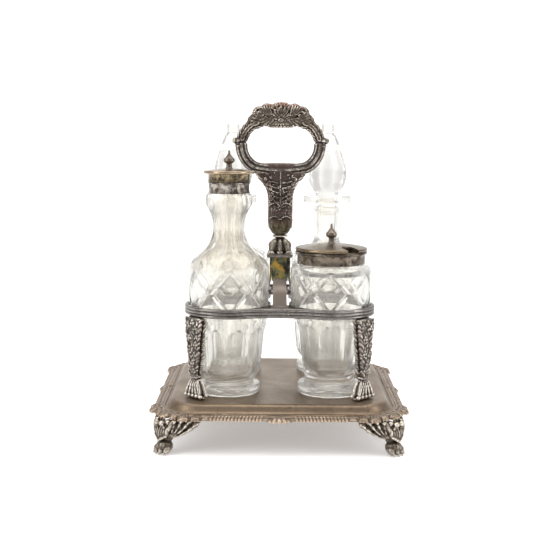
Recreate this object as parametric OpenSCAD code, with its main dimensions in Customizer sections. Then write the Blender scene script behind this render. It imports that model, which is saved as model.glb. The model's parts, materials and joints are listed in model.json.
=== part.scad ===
// Four-bottle cruet set: a plated stand on paw feet with two tall stoppered bottles,
// a capped caster and a mustard jar. Millimetres, +Z up, origin on the ground at the centre.
// The handle's ring faces -Y, and the stand's four corners lie on the diagonals.

/* [Tray] */
// Half width of the platform's flat top
platform_half = 69.5; // [68:0.5:71]
// Corner radius of the platform's flat top
platform_corner = 18; // [16:0.5:20]
// Height of the platform's top
platform_z = 31.5; // [31:0.1:32]
// Height of the flange's top round the platform
flange_z = 26.2; // [25.8:0.1:26.6]
// Thickness of the tray's sheet
sheet_t = 1.2; // [0.8:0.1:1.4]
// Width of the slope from the platform to the flange
slope_w = 5.5; // [5:0.1:6]
// Radius of the gadroon moulding round the edge
gadroon_r = 2.1; // [1.9:0.1:2.3]
// How far the shells and corner leaves stand out from the centre
ornament_reach = 85.5; // [84.5:0.5:86.5]

/* [Bottle frame] */
// Distance of each bottle's axis from the centre planes
hoop_at = 34; // [33.5:0.1:34.5]
// Inner radius of a bottle hoop
hoop_r = 27.2; // [27.1:0.1:27.5]
// Thickness of a hoop's strip
hoop_t = 0.8; // [0.6:0.1:1]
// Height of the band's lower edge
band_z = 85.2; // [84:0.2:86]
// Height of the band
band_h = 6.4; // [6:0.2:7]
// Depth of the band's strip outside the hoops
band_t = 1.3; // [1:0.1:1.5]
// Depth of the pinch at the middle of each side
pinch = 6; // [5:0.5:6.5]
// Distance of a support's centre from the stand's axis, on the diagonal
support_at = 77.3; // [77:0.1:77.6]

/* [Handle] */
// Outer width of the spider's square tube
tube_w = 11.2; // [11:0.1:11.6]
// Height of the flange's lower face
handle_flange_z = 119.2; // [118.5:0.1:120]
// Half length of the straight parts of the ring
ring_half = 10; // [9.5:0.1:10.5]
// Radius of the ring's tube
ring_tube_r = 3.9; // [3.7:0.1:4.1]
// Height of the ring's centre
ring_z = 196; // [195:0.5:197]
// Radius of the round ends of the ring's opening
opening_r = 13.1; // [12.8:0.1:13.4]
// Overall height of the set
top_z = 225.5; // [224.5:0.5:226.5]

/* [Bottles] */
// Largest radius of the bottles
body_r = 26.6; // [26.2:0.1:26.7]
// Radius of the tall bottles' feet
foot_r = 20.9; // [20.5:0.1:21.5]
// Radius of the mustard jar's foot
jar_foot_r = 21.7; // [21.2:0.1:22]
// Radius of the stoppered bottles' disc lips
lip_r = 17; // [16.5:0.1:17.5]
// Largest radius of the glass stoppers
stopper_r = 14.5; // [14:0.1:15]
// Direction of the spoon slot in the mustard lid, from +X
slot_angle = -55; // [-60:5:-45]

/* [Hidden] */
$fn = 64;

core = platform_half - platform_corner;
slope_x = platform_corner + slope_w;
gadroon_x = platform_corner + 10.4;
flange_x = gadroon_x + gadroon_r * cos(115);
gadroon_z = flange_z - 1.3;
ornament_z = gadroon_z - gadroon_r + 0.1;
ornament_h = 3.7;
hoop_out = hoop_r + hoop_t;
stud_r = 2;
fit = 0.05;
nut_r = 4;
nut_h = 3.5;
ring_line_r = opening_r + ring_tube_r;
glass_t = 3.4;

// Centre of the arc that pinches each side of the band: it is tangent to both corner arcs
pinch_line = hoop_at + hoop_out + 0.3 - pinch;
pinch_sum = (hoop_at * hoop_at - 2 * hoop_at * pinch_line + pinch_line * pinch_line + hoop_at * hoop_at
    - (hoop_out + 0.3) * (hoop_out + 0.3)) / (2 * (hoop_out + 0.3 - pinch_line + hoop_at));
pinch_centre = pinch_line + pinch_sum;

function arc(centre, r, from, to, steps = 10) =
    [for (i = [0:steps]) let (a = from + (to - from) * i / steps) centre + r * [cos(a), sin(a)]];

function curve(a, b, c, d, steps = 8) =
    [for (i = [0:steps]) let (t = i / steps, u = 1 - t)
        u * u * u * a + 3 * u * u * t * b + 3 * u * t * t * c + t * t * t * d];

// ---- tray ----

// Sweeps a profile of [distance outside the core square, height] round the tray
module around() {
    for (turn = [0:90:270])
        rotate(turn) {
            translate([core, core, 0])
                rotate_extrude(angle = 90)
                    children();
            translate([core, 0, 0])
                rotate([90, 0, 0])
                    linear_extrude(2 * core, center = true)
                        children();
        }
}

// A rounded square that reaches x outside the core square
module rounded_slab(x, z, h) {
    translate([0, 0, z])
        for (side = [-1, 1]) {
            translate([-core, -core - x, 0])
                cube([2 * core, 2 * core + 2 * x, h]);
            translate([-core - x, -core, 0])
                cube([2 * core + 2 * x, 2 * core, h]);
            for (other = [-1, 1])
                translate([side * core, other * core, 0])
                    cylinder(r = x, h = h);
        }
}

module support_places() {
    for (turn = [45:90:315])
        rotate(turn)
            translate([support_at, 0, 0])
                children();
}

module tray_plate() {
    low = platform_z - sheet_t;
    sheet = [
        [0, platform_z], [platform_corner, platform_z], [slope_x, flange_z], [flange_x, flange_z],
        [flange_x, flange_z - sheet_t], [slope_x - 0.4, flange_z - sheet_t],
        [platform_corner - 0.4, low], [0, low]
    ];
    color("#8c7a6a")
        difference() {
            union() {
                around()
                    polygon(sheet);
                translate([-core, -core, low])
                    cube([2 * core, 2 * core, sheet_t]);
            }
            support_places()
                translate([0, 0, low - 1])
                    cylinder(r = stud_r + fit, h = sheet_t + 2);
        }
}

module tray_border() {
    shell_r = 6.8;
    leaf_r = 8;
    leaf_at = 59;
    color("#9a9a94")
        difference() {
            union() {
                around()
                    polygon(arc([gadroon_x, gadroon_z], gadroon_r, -115, 115, 14));
                translate([0, 0, ornament_z])
                    for (turn = [0:90:270])
                        rotate(turn) {
                            translate([ornament_reach - shell_r, 0, 0])
                                cylinder(r = shell_r, h = ornament_h);
                            translate([ornament_reach - leaf_r, leaf_at, 0])
                                cylinder(r = leaf_r, h = ornament_h);
                            translate([leaf_at, ornament_reach - leaf_r, 0])
                                cylinder(r = leaf_r, h = ornament_h);
                            translate([leaf_at + 9, leaf_at + 9, 0])
                                cylinder(r = leaf_r, h = ornament_h);
                        }
            }
            rounded_slab(flange_x, ornament_z - 1, ornament_h + 4);
        }
}

// ---- feet ----

// The back right foot: a lion's paw under a leaf, with a wing along each edge of the tray
module foot() {
    paw_at = 74.2;
    toe_r = 3.1;
    wing_from = 48;
    wing_to = 71;
    wing_top = gadroon_z - gadroon_r;
    wing = [
        [wing_from, wing_top], [wing_to, wing_top], [wing_to, 9], [wing_to - 5, 10.5],
        [wing_to - 10, 13], [wing_to - 16, 16.6], [wing_from, wing_top - 2.2]
    ];
    color("#8f8f8a") {
        difference() {
            union() {
                translate([paw_at - 1, paw_at - 1, 4.8])
                    sphere(r = 5.6);
                rotate(45)
                    for (spread = [-1:1])
                        translate([(paw_at + 2.3) * sqrt(2) - abs(spread) * 1.6, spread * 4.2, 2.4])
                            sphere(r = toe_r);
            }
            translate([0, 0, -20])
                cube([200, 200, 40], center = true);
        }
        hull() {
            translate([paw_at - 0.5, paw_at - 0.5, 8])
                sphere(r = 4.4, $fn = 24);
            translate([70, 70, 15])
                sphere(r = 6.8, $fn = 24);
            translate([65.5, 65.5, 20])
                cylinder(r = 4, h = flange_z - sheet_t - 20, $fn = 24);
        }
        translate([78, 0, 0])
            rotate([90, 0, -90])
                mirror([1, 0, 0])
                    linear_extrude(3.2)
                        polygon(wing);
        translate([0, 78, 0])
            rotate([90, 0, 0])
                linear_extrude(3.2)
                    polygon(wing);
    }
}

// ---- bottle frame ----

// Half of the support's outline, as [half width, height above the platform]
module support() {
    h = band_z - platform_z;
    half = [
        [7.6, h], [7.6, h - 2], [6.2, h - 13], [4.8, h - 28], [3.5, h - 37], [3.9, h - 38.5],
        [3.9, h - 40.5], [5, 10], [8, 3.5], [8, 0]
    ];
    outline = concat(half, [for (i = [len(half) - 1:-1:0]) [-half[i][0], half[i][1]]]);
    side = [
        [-2, h], [2, h], [1.9, 15], [2.1, 11], [3.2, 3], [3.2, 0], [-3.6, 0], [-3.6, 3], [-2, 11]
    ];
    color("#85857f")
        support_at_place() {
            intersection() {
                rotate([90, 0, 90])
                    linear_extrude(20, center = true)
                        polygon(outline);
                rotate([90, 0, 0])
                    linear_extrude(20, center = true)
                        polygon(side);
            }
            translate([0, 0, -6])
                cylinder(r = stud_r, h = 7);
        }
}

module support_at_place() {
    rotate(45)
        translate([support_at, 0, platform_z])
            children();
}

module support_nuts() {
    color("#7d7a70")
        support_places()
            translate([0, 0, platform_z - sheet_t - nut_h])
                difference() {
                    cylinder(r = nut_r, h = nut_h, $fn = 6);
                    translate([0, 0, -1])
                        cylinder(r = stud_r + fit / 2, h = nut_h + 2);
                }
}

// A quatrefoil slab that reaches r from each bottle's axis
module quatrefoil(r, z, h) {
    tilt = atan2(pinch_centre - hoop_at, hoop_at);
    reach = [hoop_at - r * cos(tilt), hoop_at + r * sin(tilt)];
    translate([0, 0, z])
        difference() {
            union() {
                for (turn = [0:90:270])
                    rotate(turn)
                        translate([hoop_at, hoop_at, 0])
                            cylinder(r = r, h = h);
                linear_extrude(h)
                    polygon([
                        reach, [reach[1], reach[0]], [reach[1], -reach[0]], [reach[0], -reach[1]],
                        -reach, [-reach[1], -reach[0]], [-reach[1], reach[0]], [-reach[0], reach[1]]
                    ]);
            }
            for (turn = [0:90:270])
                rotate(turn)
                    translate([pinch_centre, 0, -1])
                        cylinder(r = hoop_out + 0.3 + pinch_sum - r, h = h + 2);
        }
}

module ring_band() {
    reeds = 3;
    groove = 0.4;
    reed_h = (band_h - (reeds - 1) * groove) / reeds;
    color("#8a8a86")
        difference() {
            union() {
                quatrefoil(hoop_out + band_t - 0.4, band_z, band_h);
                for (i = [0:reeds - 1])
                    quatrefoil(hoop_out + band_t, band_z + i * (reed_h + groove), reed_h);
            }
            quatrefoil(hoop_out, band_z - 1, band_h + 2);
        }
}

module hoop(x, y) {
    color("#7f7f7a")
        translate([x * hoop_at, y * hoop_at, band_z])
            difference() {
                cylinder(r = hoop_out, h = band_h);
                translate([0, 0, -1])
                    cylinder(r = hoop_r, h = band_h + 2);
            }
}

// ---- handle ----

// Four arched straps carry the square tube: each stands on a saddle between two hoops
module handle_spider() {
    strap_w = 9.6;
    strap_t = 1.5;
    tube_t = 1.2;
    tube_low = 102.4;
    saddle_z = 87.5;
    top = concat(
        [[tube_w / 2 + strap_t, handle_flange_z]],
        curve([tube_w / 2 + strap_t, 106], [7.8, 99], [11, 95.5], [20, 93]),
        [[29, 91], [39, 90.2]]
    );
    low = concat(
        [[39, 88.7], [29, 89.5]],
        curve([20, 91.5], [9.5, 94], [5.9, 98], [tube_w / 2, 106]),
        [[tube_w / 2, handle_flange_z]]
    );
    color("#77705f") {
        difference() {
            translate([-tube_w / 2, -tube_w / 2, tube_low])
                cube([tube_w, tube_w, handle_flange_z - tube_low]);
            translate([tube_t - tube_w / 2, tube_t - tube_w / 2, tube_low - 1])
                cube([tube_w - 2 * tube_t, tube_w - 2 * tube_t, 40]);
        }
        for (turn = [0:90:270])
            rotate(turn) {
                rotate([90, 0, 0])
                    linear_extrude(strap_w, center = true)
                        polygon(concat(top, low));
                difference() {
                    translate([hoop_at - 5, -8, saddle_z])
                        cube([10, 16, 2]);
                    for (side = [-1, 1])
                        translate([hoop_at, side * hoop_at, saddle_z - 1])
                            cylinder(r = hoop_out, h = 4);
                }
            }
    }
}

module handle_flange() {
    w = 17.8;
    h = 2.1;
    color("#80786c")
        translate([0, 0, handle_flange_z])
            difference() {
                translate([-w / 2, -w / 2, 0])
                    cube([w, w, h]);
                translate([0, 0, -1])
                    cylinder(r = stud_r + fit, h = h + 2);
            }
}

module handle_base() {
    low = handle_flange_z + 2.1;
    half = [[8.5, low], [7.6, low + 3.6], [5, low + 10.8], [5.6, low + 11.5], [5.6, low + 13.5]];
    slope = concat(half, [for (i = [len(half) - 1:-1:0]) [-half[i][0], half[i][1]]]);
    color("#8a857c")
        difference() {
            intersection() {
                rotate([90, 0, 0])
                    linear_extrude(20, center = true)
                        polygon(slope);
                rotate([90, 0, 90])
                    linear_extrude(20, center = true)
                        polygon(slope);
            }
            translate([0, 0, low - 1])
                cylinder(r = stud_r + fit, h = 20);
        }
}

module handle_stem() {
    low = handle_flange_z + 15.6;
    right = concat(
        [[5, low]],
        curve([5, low + 0.5], [6.6, low + 2], [8.2, low + 4.5], [8.2, low + 9]),
        curve([8.2, 158], [8.2, 166], [13, 170], [18, 177]),
        [[16.5, 181], [12, 184]]
    );
    outline = concat(right, [for (i = [len(right) - 1:-1:0]) [-right[i][0], right[i][1]]]);
    side = [[-5.4, low], [5.4, low], [4.4, low + 12], [4, 184], [-4, 184], [-4.4, low + 12]];
    color("#5c4f48")
        difference() {
            intersection() {
                rotate([90, 0, 0])
                    linear_extrude(20, center = true)
                        polygon(outline);
                rotate([90, 0, 90])
                    linear_extrude(60, center = true)
                        polygon(side);
            }
            ring_tube();
            translate([0, 0, low - 1])
                cylinder(r = stud_r + fit, h = 11);
        }
}

// The plain round-section ring, without its ornament
module ring_tube() {
    translate([0, 0, ring_z])
        rotate([90, 0, 0])
            for (side = [-1, 1]) {
                translate([side * ring_half, 0, 0])
                    rotate(side * 90 - 180)
                        rotate_extrude(angle = 180)
                            translate([ring_line_r, 0])
                                circle(r = ring_tube_r);
                translate([0, side * ring_line_r, 0])
                    rotate([0, 90, 0])
                        cylinder(r = ring_tube_r, h = 2 * ring_half, center = true);
            }
}

module handle_ring() {
    crest_r = 13;
    crest_t = 8.4;
    crest_low = 208;
    scroll_r = 5.8;
    scroll_x = 14.6;
    color("#746b64") {
        ring_tube();
        difference() {
            rotate([90, 0, 0]) {
                translate([0, top_z - crest_r, 0])
                    cylinder(r = crest_r, h = crest_t, center = true);
                for (side = [-1, 1])
                    translate([side * scroll_x, top_z - 1 - scroll_r, 0])
                        cylinder(r = scroll_r, h = crest_t, center = true);
            }
            translate([-40, -20, crest_low - 50])
                cube([80, 40, 50]);
        }
        for (side = [-1, 1])
            translate([side * 31, 0, ring_z + 3])
                sphere(r = 2.3);
    }
}

module handle_stud() {
    color("#8c8678")
        translate([0, 0, handle_flange_z - 6.5])
            cylinder(r = stud_r, h = 28);
}

module handle_nut() {
    color("#7d7a70")
        translate([0, 0, handle_flange_z - nut_h])
            difference() {
                cylinder(r = nut_r, h = nut_h, $fn = 6);
                translate([0, 0, -1])
                    cylinder(r = stud_r + fit / 2, h = nut_h + 2);
            }
}

// ---- bottles ----

module bottle_at(x, y) {
    translate([x * hoop_at, y * hoop_at, 0])
        rotate_extrude()
            children();
}

// Outside of a tall bottle from the middle of its foot up to the shoulder
tall_lower = [
    [0, platform_z], [foot_r - 1.2, platform_z], [foot_r, platform_z + 1.2], [foot_r, platform_z + 5],
    [16.3, platform_z + 7.8], [22.4, platform_z + 16.3], [22.9, platform_z + 20.5],
    [25.3, platform_z + 47.5], [body_r, platform_z + 60], [body_r, platform_z + 81]
];
// Inside of a tall bottle, from the shoulder down to the floor
tall_inner = [
    [body_r - glass_t, 112], [body_r - glass_t, platform_z + 60], [25.3 - glass_t, platform_z + 47.5],
    [22.4 - glass_t, platform_z + 19], [14, platform_z + 11], [0, platform_z + 10]
];

module caster_glass() {
    color([0.85, 0.9, 0.88, 0.4])
        bottle_at(-1, -1)
            polygon(concat(
                tall_lower,
                curve([body_r, 116], [body_r, 119.5], [20, 124.2], [15.8, 129.2]),
                curve([15.4, 129.8], [13, 133.2], [11.1, 138], [11.1, 142]),
                curve([11.1, 143], [11.2, 148.5], [13.2, 152.5], [15, 156.5]),
                [[15.4, 158.5], [15.4, 163], [14, 164.9], [11.8, 164.9], [11.8, 171.4], [9.6, 171.4],
                    [9.6, 156], [7.8, 148], [7.8, 137]],
                curve([8.2, 133], [11, 127.5], [22, 123.5], [body_r - glass_t, 115]),
                tall_inner
            ));
}

module caster_collar() {
    color("#6f6a62")
        bottle_at(-1, -1)
            polygon([
                [11.8, 165], [13.6, 165], [13.6, 166], [13.3, 166.4], [13.3, 171], [13.7, 171.4],
                [13.7, 172.2], [9.6, 172.2], [9.6, 171.4], [11.8, 171.4]
            ]);
}

module caster_cap() {
    plug_r = 9.3;
    color("#8d7a55")
        bottle_at(-1, -1)
            polygon(concat(
                [[0, 170.7], [plug_r - 1, 170.7], [plug_r - 1, 168.2], [plug_r, 168.2], [plug_r, 172.22],
                    [13.9, 172.22], [13.9, 177.6]],
                arc([15.9, 178.7], 1, -90, 60, 6),
                [[12, 180.4], [4, 180.9], [0, 180.9]]
            ));
}

// A turned knob that rises to a point
module finial(x, y, z, knob_r, h) {
    color("#6d6455")
        bottle_at(x, y)
            polygon(concat(
                [[0, z], [2.6, z], [2, z + 1.2], [2, z + 0.28 * h]],
                curve([knob_r - 1.2, z + 0.33 * h], [knob_r + 0.3, z + 0.4 * h],
                    [knob_r + 0.3, z + 0.54 * h], [knob_r - 1.8, z + 0.64 * h], 6),
                [[0.9, z + 0.8 * h], [0.7, z + 0.96 * h], [0, z + h]]
            ));
}

module caster_finial() {
    finial(-1, -1, 180.9, 4, 12.2);
}

module mustard_glass() {
    color([0.85, 0.9, 0.88, 0.4])
        bottle_at(1, -1)
            polygon(concat(
                [[0, platform_z], [jar_foot_r - 1.2, platform_z], [jar_foot_r, platform_z + 1.2],
                    [jar_foot_r, platform_z + 5.5], [16.3, platform_z + 10], [19.4, platform_z + 19],
                    [21.3, platform_z + 28.5], [23, platform_z + 47], [body_r, platform_z + 60]],
                curve([body_r, 112], [body_r, 116], [25.5, 118.2], [22.4, 118.9]),
                [[21.2, 118.9], [21.2, 125], [19.6, 125], [19.6, 117], [body_r - glass_t, 112],
                    [body_r - glass_t, platform_z + 60], [23 - glass_t, platform_z + 47],
                    [21.3 - glass_t, platform_z + 28.5], [19.4 - glass_t, platform_z + 21],
                    [12, platform_z + 13], [0, platform_z + 12]]
            ));
}

module mustard_collar() {
    color("#77726a")
        bottle_at(1, -1)
            polygon(concat(
                [[21.2, 119], [22.6, 119], [22.6, 125.2]],
                arc([22.8, 126.3], 1.1, -80, 80, 6),
                [[19.6, 127.4], [19.6, 125], [21.2, 125]]
            ));
}

module mustard_lid() {
    low = 127.42;
    lid_r = 23.9;
    edge_r = 1.1;
    lid_rise = 4.6;
    lid_t = 1;
    plug_r = 19.3;
    slot_w = 8.8;
    slot_l = 10;
    bend_r = lid_r - edge_r;
    dome_h = lid_rise - 2 * edge_r;
    dome_r = (bend_r * bend_r + dome_h * dome_h) / (2 * dome_h);
    edge = asin(bend_r / dome_r);
    inner_edge = asin((plug_r - 1) / (dome_r - lid_t));
    dome_c = [0, low + lid_rise - dome_r];
    color("#8d7a55")
        difference() {
            bottle_at(1, -1)
                polygon(concat(
                    arc(dome_c, dome_r, 90, 90 - edge, 10),
                    arc([bend_r, low + edge_r], edge_r, 75, -90, 6),
                    [[plug_r, low], [plug_r, low - 4.5], [plug_r - 1, low - 4.5]],
                    arc(dome_c, dome_r - lid_t, 90 - inner_edge, 90, 8)
                ));
            translate([hoop_at, -hoop_at, 0])
                rotate(slot_angle)
                    translate([lid_r - slot_l + slot_w / 2, 0, low - 8]) {
                        cylinder(r = slot_w / 2, h = 20);
                        translate([0, -slot_w / 2, 0])
                            cube([20, slot_w, 20]);
                    }
        }
}

module mustard_finial() {
    finial(1, -1, 132.02, 4, 13.2);
}

module tall_glass(x) {
    bore_r = 6.3;
    color([0.85, 0.9, 0.88, 0.4])
        bottle_at(x, 1)
            polygon(concat(
                tall_lower,
                curve([body_r, 113], [body_r, 121], [14, 120], [10.4, 127]),
                curve([10.1, 128], [9, 131], [8.8, 134], [8.8, 138]),
                curve([8.8, 145], [9, 150], [10.5, 153.5], [lip_r - 1.5, 154.6]),
                arc([lip_r - 1, 155.8], 1, -60, 0, 3),
                arc([lip_r - 1, 159], 1, 0, 90, 4),
                [[bore_r + 1, 160], [bore_r, 159], [5.6, 134]],
                curve([6.4, 129], [8.5, 124], [21.5, 122], [body_r - glass_t, 113]),
                tall_inner
            ));
}

module oil_glass() {
    tall_glass(-1);
}

module vinegar_glass() {
    tall_glass(1);
}

// A teardrop stopper with a small knob on top and a tapered plug in the bottle's neck
module stopper(x) {
    seat = 160.02;
    color([0.88, 0.93, 0.92, 0.4])
        bottle_at(x, 1)
            polygon(concat(
                [[0, 146], [4.4, 146], [5, 147], [5.8, 159.6], [5.9, seat], [8.2, seat], [8.4, 161.5]],
                curve([9, 162.5], [12.5, 166], [stopper_r, 170], [stopper_r, 175]),
                curve([stopper_r, 176.5], [stopper_r, 183.5], [9, 195.5], [5.9, 203]),
                [[4.6, 204.2], [4.5, 205.2]],
                arc([1.5, 210.3], 3, 0, 90, 6),
                [[0, 213.3]]
            ));
}

module oil_stopper() {
    stopper(-1);
}

module vinegar_stopper() {
    stopper(1);
}

// ---- places of the four feet and supports ----

module at_corner(x, y) {
    mirror([x < 0 ? 1 : 0, 0, 0])
        mirror([0, y < 0 ? 1 : 0, 0])
            children();
}

tray_plate();
tray_border();
at_corner(-1, -1) foot();  // foot_front_left
at_corner(1, -1) foot();  // foot_front_right
at_corner(-1, 1) foot();  // foot_back_left
at_corner(1, 1) foot();  // foot_back_right
at_corner(-1, -1) support();  // support_front_left
at_corner(1, -1) support();  // support_front_right
at_corner(-1, 1) support();  // support_back_left
at_corner(1, 1) support();  // support_back_right
support_nuts();
ring_band();
hoop(-1, -1);  // hoop_front_left
hoop(1, -1);  // hoop_front_right
hoop(-1, 1);  // hoop_back_left
hoop(1, 1);  // hoop_back_right
handle_spider();
handle_flange();
handle_base();
handle_stem();
handle_ring();
handle_stud();
handle_nut();
caster_glass();
caster_collar();
caster_cap();
caster_finial();
mustard_glass();
mustard_collar();
mustard_lid();
mustard_finial();
oil_glass();
oil_stopper();
vinegar_glass();
vinegar_stopper();
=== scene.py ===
# %% [markdown]
# # A four-bottle cruet set
# The stand is old silver plate: a square tray on lion's-paw feet, a reeded band that holds four
# bottles, and a ring handle over them. The bottles are cut glass. This notebook builds what the eye
# sees over a mechanical frame that is already there, so every piece starts from the frame's own
# places and rides on the body that it belongs to.

# %% Load the frame
import bpy
import json
import math
import numpy as np
from mathutils import Matrix, Vector

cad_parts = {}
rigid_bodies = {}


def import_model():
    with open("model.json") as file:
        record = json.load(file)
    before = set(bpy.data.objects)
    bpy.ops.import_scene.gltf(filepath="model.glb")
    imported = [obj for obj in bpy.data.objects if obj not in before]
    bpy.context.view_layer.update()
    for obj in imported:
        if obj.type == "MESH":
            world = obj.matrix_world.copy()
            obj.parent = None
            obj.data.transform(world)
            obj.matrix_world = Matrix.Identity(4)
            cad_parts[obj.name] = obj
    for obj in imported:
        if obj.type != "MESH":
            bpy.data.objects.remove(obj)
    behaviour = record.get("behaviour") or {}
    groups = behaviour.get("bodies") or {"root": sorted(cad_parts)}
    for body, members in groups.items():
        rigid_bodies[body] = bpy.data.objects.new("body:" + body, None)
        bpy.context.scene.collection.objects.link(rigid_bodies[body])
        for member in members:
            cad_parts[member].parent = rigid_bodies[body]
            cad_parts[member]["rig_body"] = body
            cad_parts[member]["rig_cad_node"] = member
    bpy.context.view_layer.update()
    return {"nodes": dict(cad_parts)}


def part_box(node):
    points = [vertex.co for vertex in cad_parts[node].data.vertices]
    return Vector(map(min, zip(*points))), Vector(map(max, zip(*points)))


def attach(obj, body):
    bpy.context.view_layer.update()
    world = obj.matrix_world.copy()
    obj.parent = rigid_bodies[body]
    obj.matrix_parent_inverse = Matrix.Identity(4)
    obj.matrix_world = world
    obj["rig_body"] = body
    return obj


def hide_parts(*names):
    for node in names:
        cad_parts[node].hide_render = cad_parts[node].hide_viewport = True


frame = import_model()
nodes = frame["nodes"]
MM = 0.001
GAP = 0.02
CORNERS = {"front_left": (-1, -1), "front_right": (1, -1), "back_left": (-1, 1),
           "back_right": (1, 1)}

# %% [markdown]
# Sizes come from the frame. The hoops say where each bottle stands, the tray says how high the
# platform is, and the ring says where the handle ends.

# %% Places in the frame, in millimetres


def node_box(name):
    low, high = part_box(name)
    return low / MM, high / MM


hoop_low, hoop_high = node_box("hoop_back_right")
HOOP_AT = (hoop_low.x + hoop_high.x) / 2
HOOP_OUT = (hoop_high.x - hoop_low.x) / 2
BAND_LOW, BAND_HIGH = node_box("ring_band")
PLATFORM_Z = node_box("tray_plate")[1].z
TOP_Z = node_box("handle_ring")[1].z
print("hoops at", HOOP_AT, "platform at", PLATFORM_Z, "top at", TOP_Z)

# %% [markdown]
# ## Working tools
# Operators act on whatever is selected, so each step first clears the selection. Modifiers are
# applied at once, which leaves a plain mesh whose object sits at the origin.

# %% Selection and modifiers


def pick(*objects):
    if bpy.context.mode != "OBJECT":
        bpy.ops.object.mode_set(mode="OBJECT")
    bpy.ops.object.select_all(action="DESELECT")
    for item in objects:
        item.select_set(True)
    bpy.context.view_layer.objects.active = objects[0]


def settle(piece):
    pick(piece)
    bpy.ops.object.transform_apply(location=True, rotation=True, scale=True)
    return piece


def modify(piece, kind, **settings):
    pick(piece)
    modifier = piece.modifiers.new(kind.title(), kind)
    for key, value in settings.items():
        setattr(modifier, key, value)
    bpy.ops.object.modifier_apply(modifier=modifier.name)
    return piece


def edit(piece, *steps):
    pick(piece)
    bpy.ops.object.mode_set(mode="EDIT")
    bpy.ops.mesh.select_all(action="SELECT")
    for step in steps:
        step()
    bpy.ops.object.mode_set(mode="OBJECT")
    return piece


def face_out(piece):
    return edit(piece, lambda: bpy.ops.mesh.normals_make_consistent(inside=False))


def join(name, *parts):
    pick(*parts)
    if len(parts) > 1:
        bpy.ops.object.join()
    parts[0].name = name
    return parts[0]


def add(name, data):
    piece = bpy.data.objects.new(name, data)
    bpy.context.scene.collection.objects.link(piece)
    return piece


def placed_copy(pattern, name, matrix):
    """A copy of the pattern, moved by the matrix; a mirror keeps its faces outwards."""
    pick(pattern)
    bpy.ops.object.duplicate()
    copy = bpy.context.object
    copy.name = name
    copy.data.transform(matrix)
    if matrix.determinant() < 0:
        copy.data.flip_normals()
    return copy


def held(piece, **limits):
    """Moves points outside the limits, in millimetres for each axis, back to them."""
    for vertex in piece.data.vertices:
        for axis, (low, high) in limits.items():
            setattr(vertex.co, axis, min(max(getattr(vertex.co, axis), low * MM), high * MM))
    return piece


def smooth(piece, degrees=40):
    pick(piece)
    bpy.ops.object.shade_smooth_by_angle(angle=math.radians(degrees))
    return piece


# %% [markdown]
# Curves that come up again and again: an arc and a curve with two handles. Both give lists of
# points in millimetres, in whatever plane the piece needs.

# %% Arcs and curves


def arc(centre, radius, start, end, steps=12):
    turns = [math.radians(start + (end - start) * i / steps) for i in range(steps + 1)]
    return [(centre[0] + radius * math.cos(t), centre[1] + radius * math.sin(t)) for t in turns]


def curve(a, b, c, d, steps=10):
    points = []
    for i in range(steps + 1):
        t = i / steps
        weights = ((1 - t) ** 3, 3 * (1 - t) ** 2 * t, 3 * (1 - t) * t * t, t ** 3)
        points.append(tuple(sum(w * p[k] for w, p in zip(weights, (a, b, c, d))) for k in range(2)))
    return points


def spaced(points, step):
    """The same outline with points no further apart than step."""
    made = [points[0]]
    for a, b in zip(points, points[1:]):
        parts = max(1, math.ceil(math.dist(a, b) / step))
        made += [tuple(a[k] + (b[k] - a[k]) * i / parts for k in range(len(a)))
                 for i in range(1, parts + 1)]
    return made


# %% [markdown]
# ## Shader tools
# A finish is easier to read as arithmetic than as a web of nodes. A Value wraps a socket, and
# sums and products of Values add Math nodes. Anything else is made by Finish.node.

# %% Values and finishes


class Value:
    def __init__(self, finish, socket):
        self.finish, self.socket = finish, socket

    def _math(self, operation, first, second):
        return self.finish.node("ShaderNodeMath", {"operation": operation}, {0: first, 1: second})

    def __add__(self, other):
        return self._math("ADD", self, other)

    def __sub__(self, other):
        return self._math("SUBTRACT", self, other)

    def __mul__(self, other):
        return self._math("MULTIPLY", self, other)

    def __rsub__(self, other):
        return self._math("SUBTRACT", other, self)

    __radd__ = __add__
    __rmul__ = __mul__

    def clip(self, low=0.0, high=1.0):
        return self.finish.node("ShaderNodeMapRange", {"clamp": True},
                                {"Value": self, "From Min": low, "From Max": high})


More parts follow.
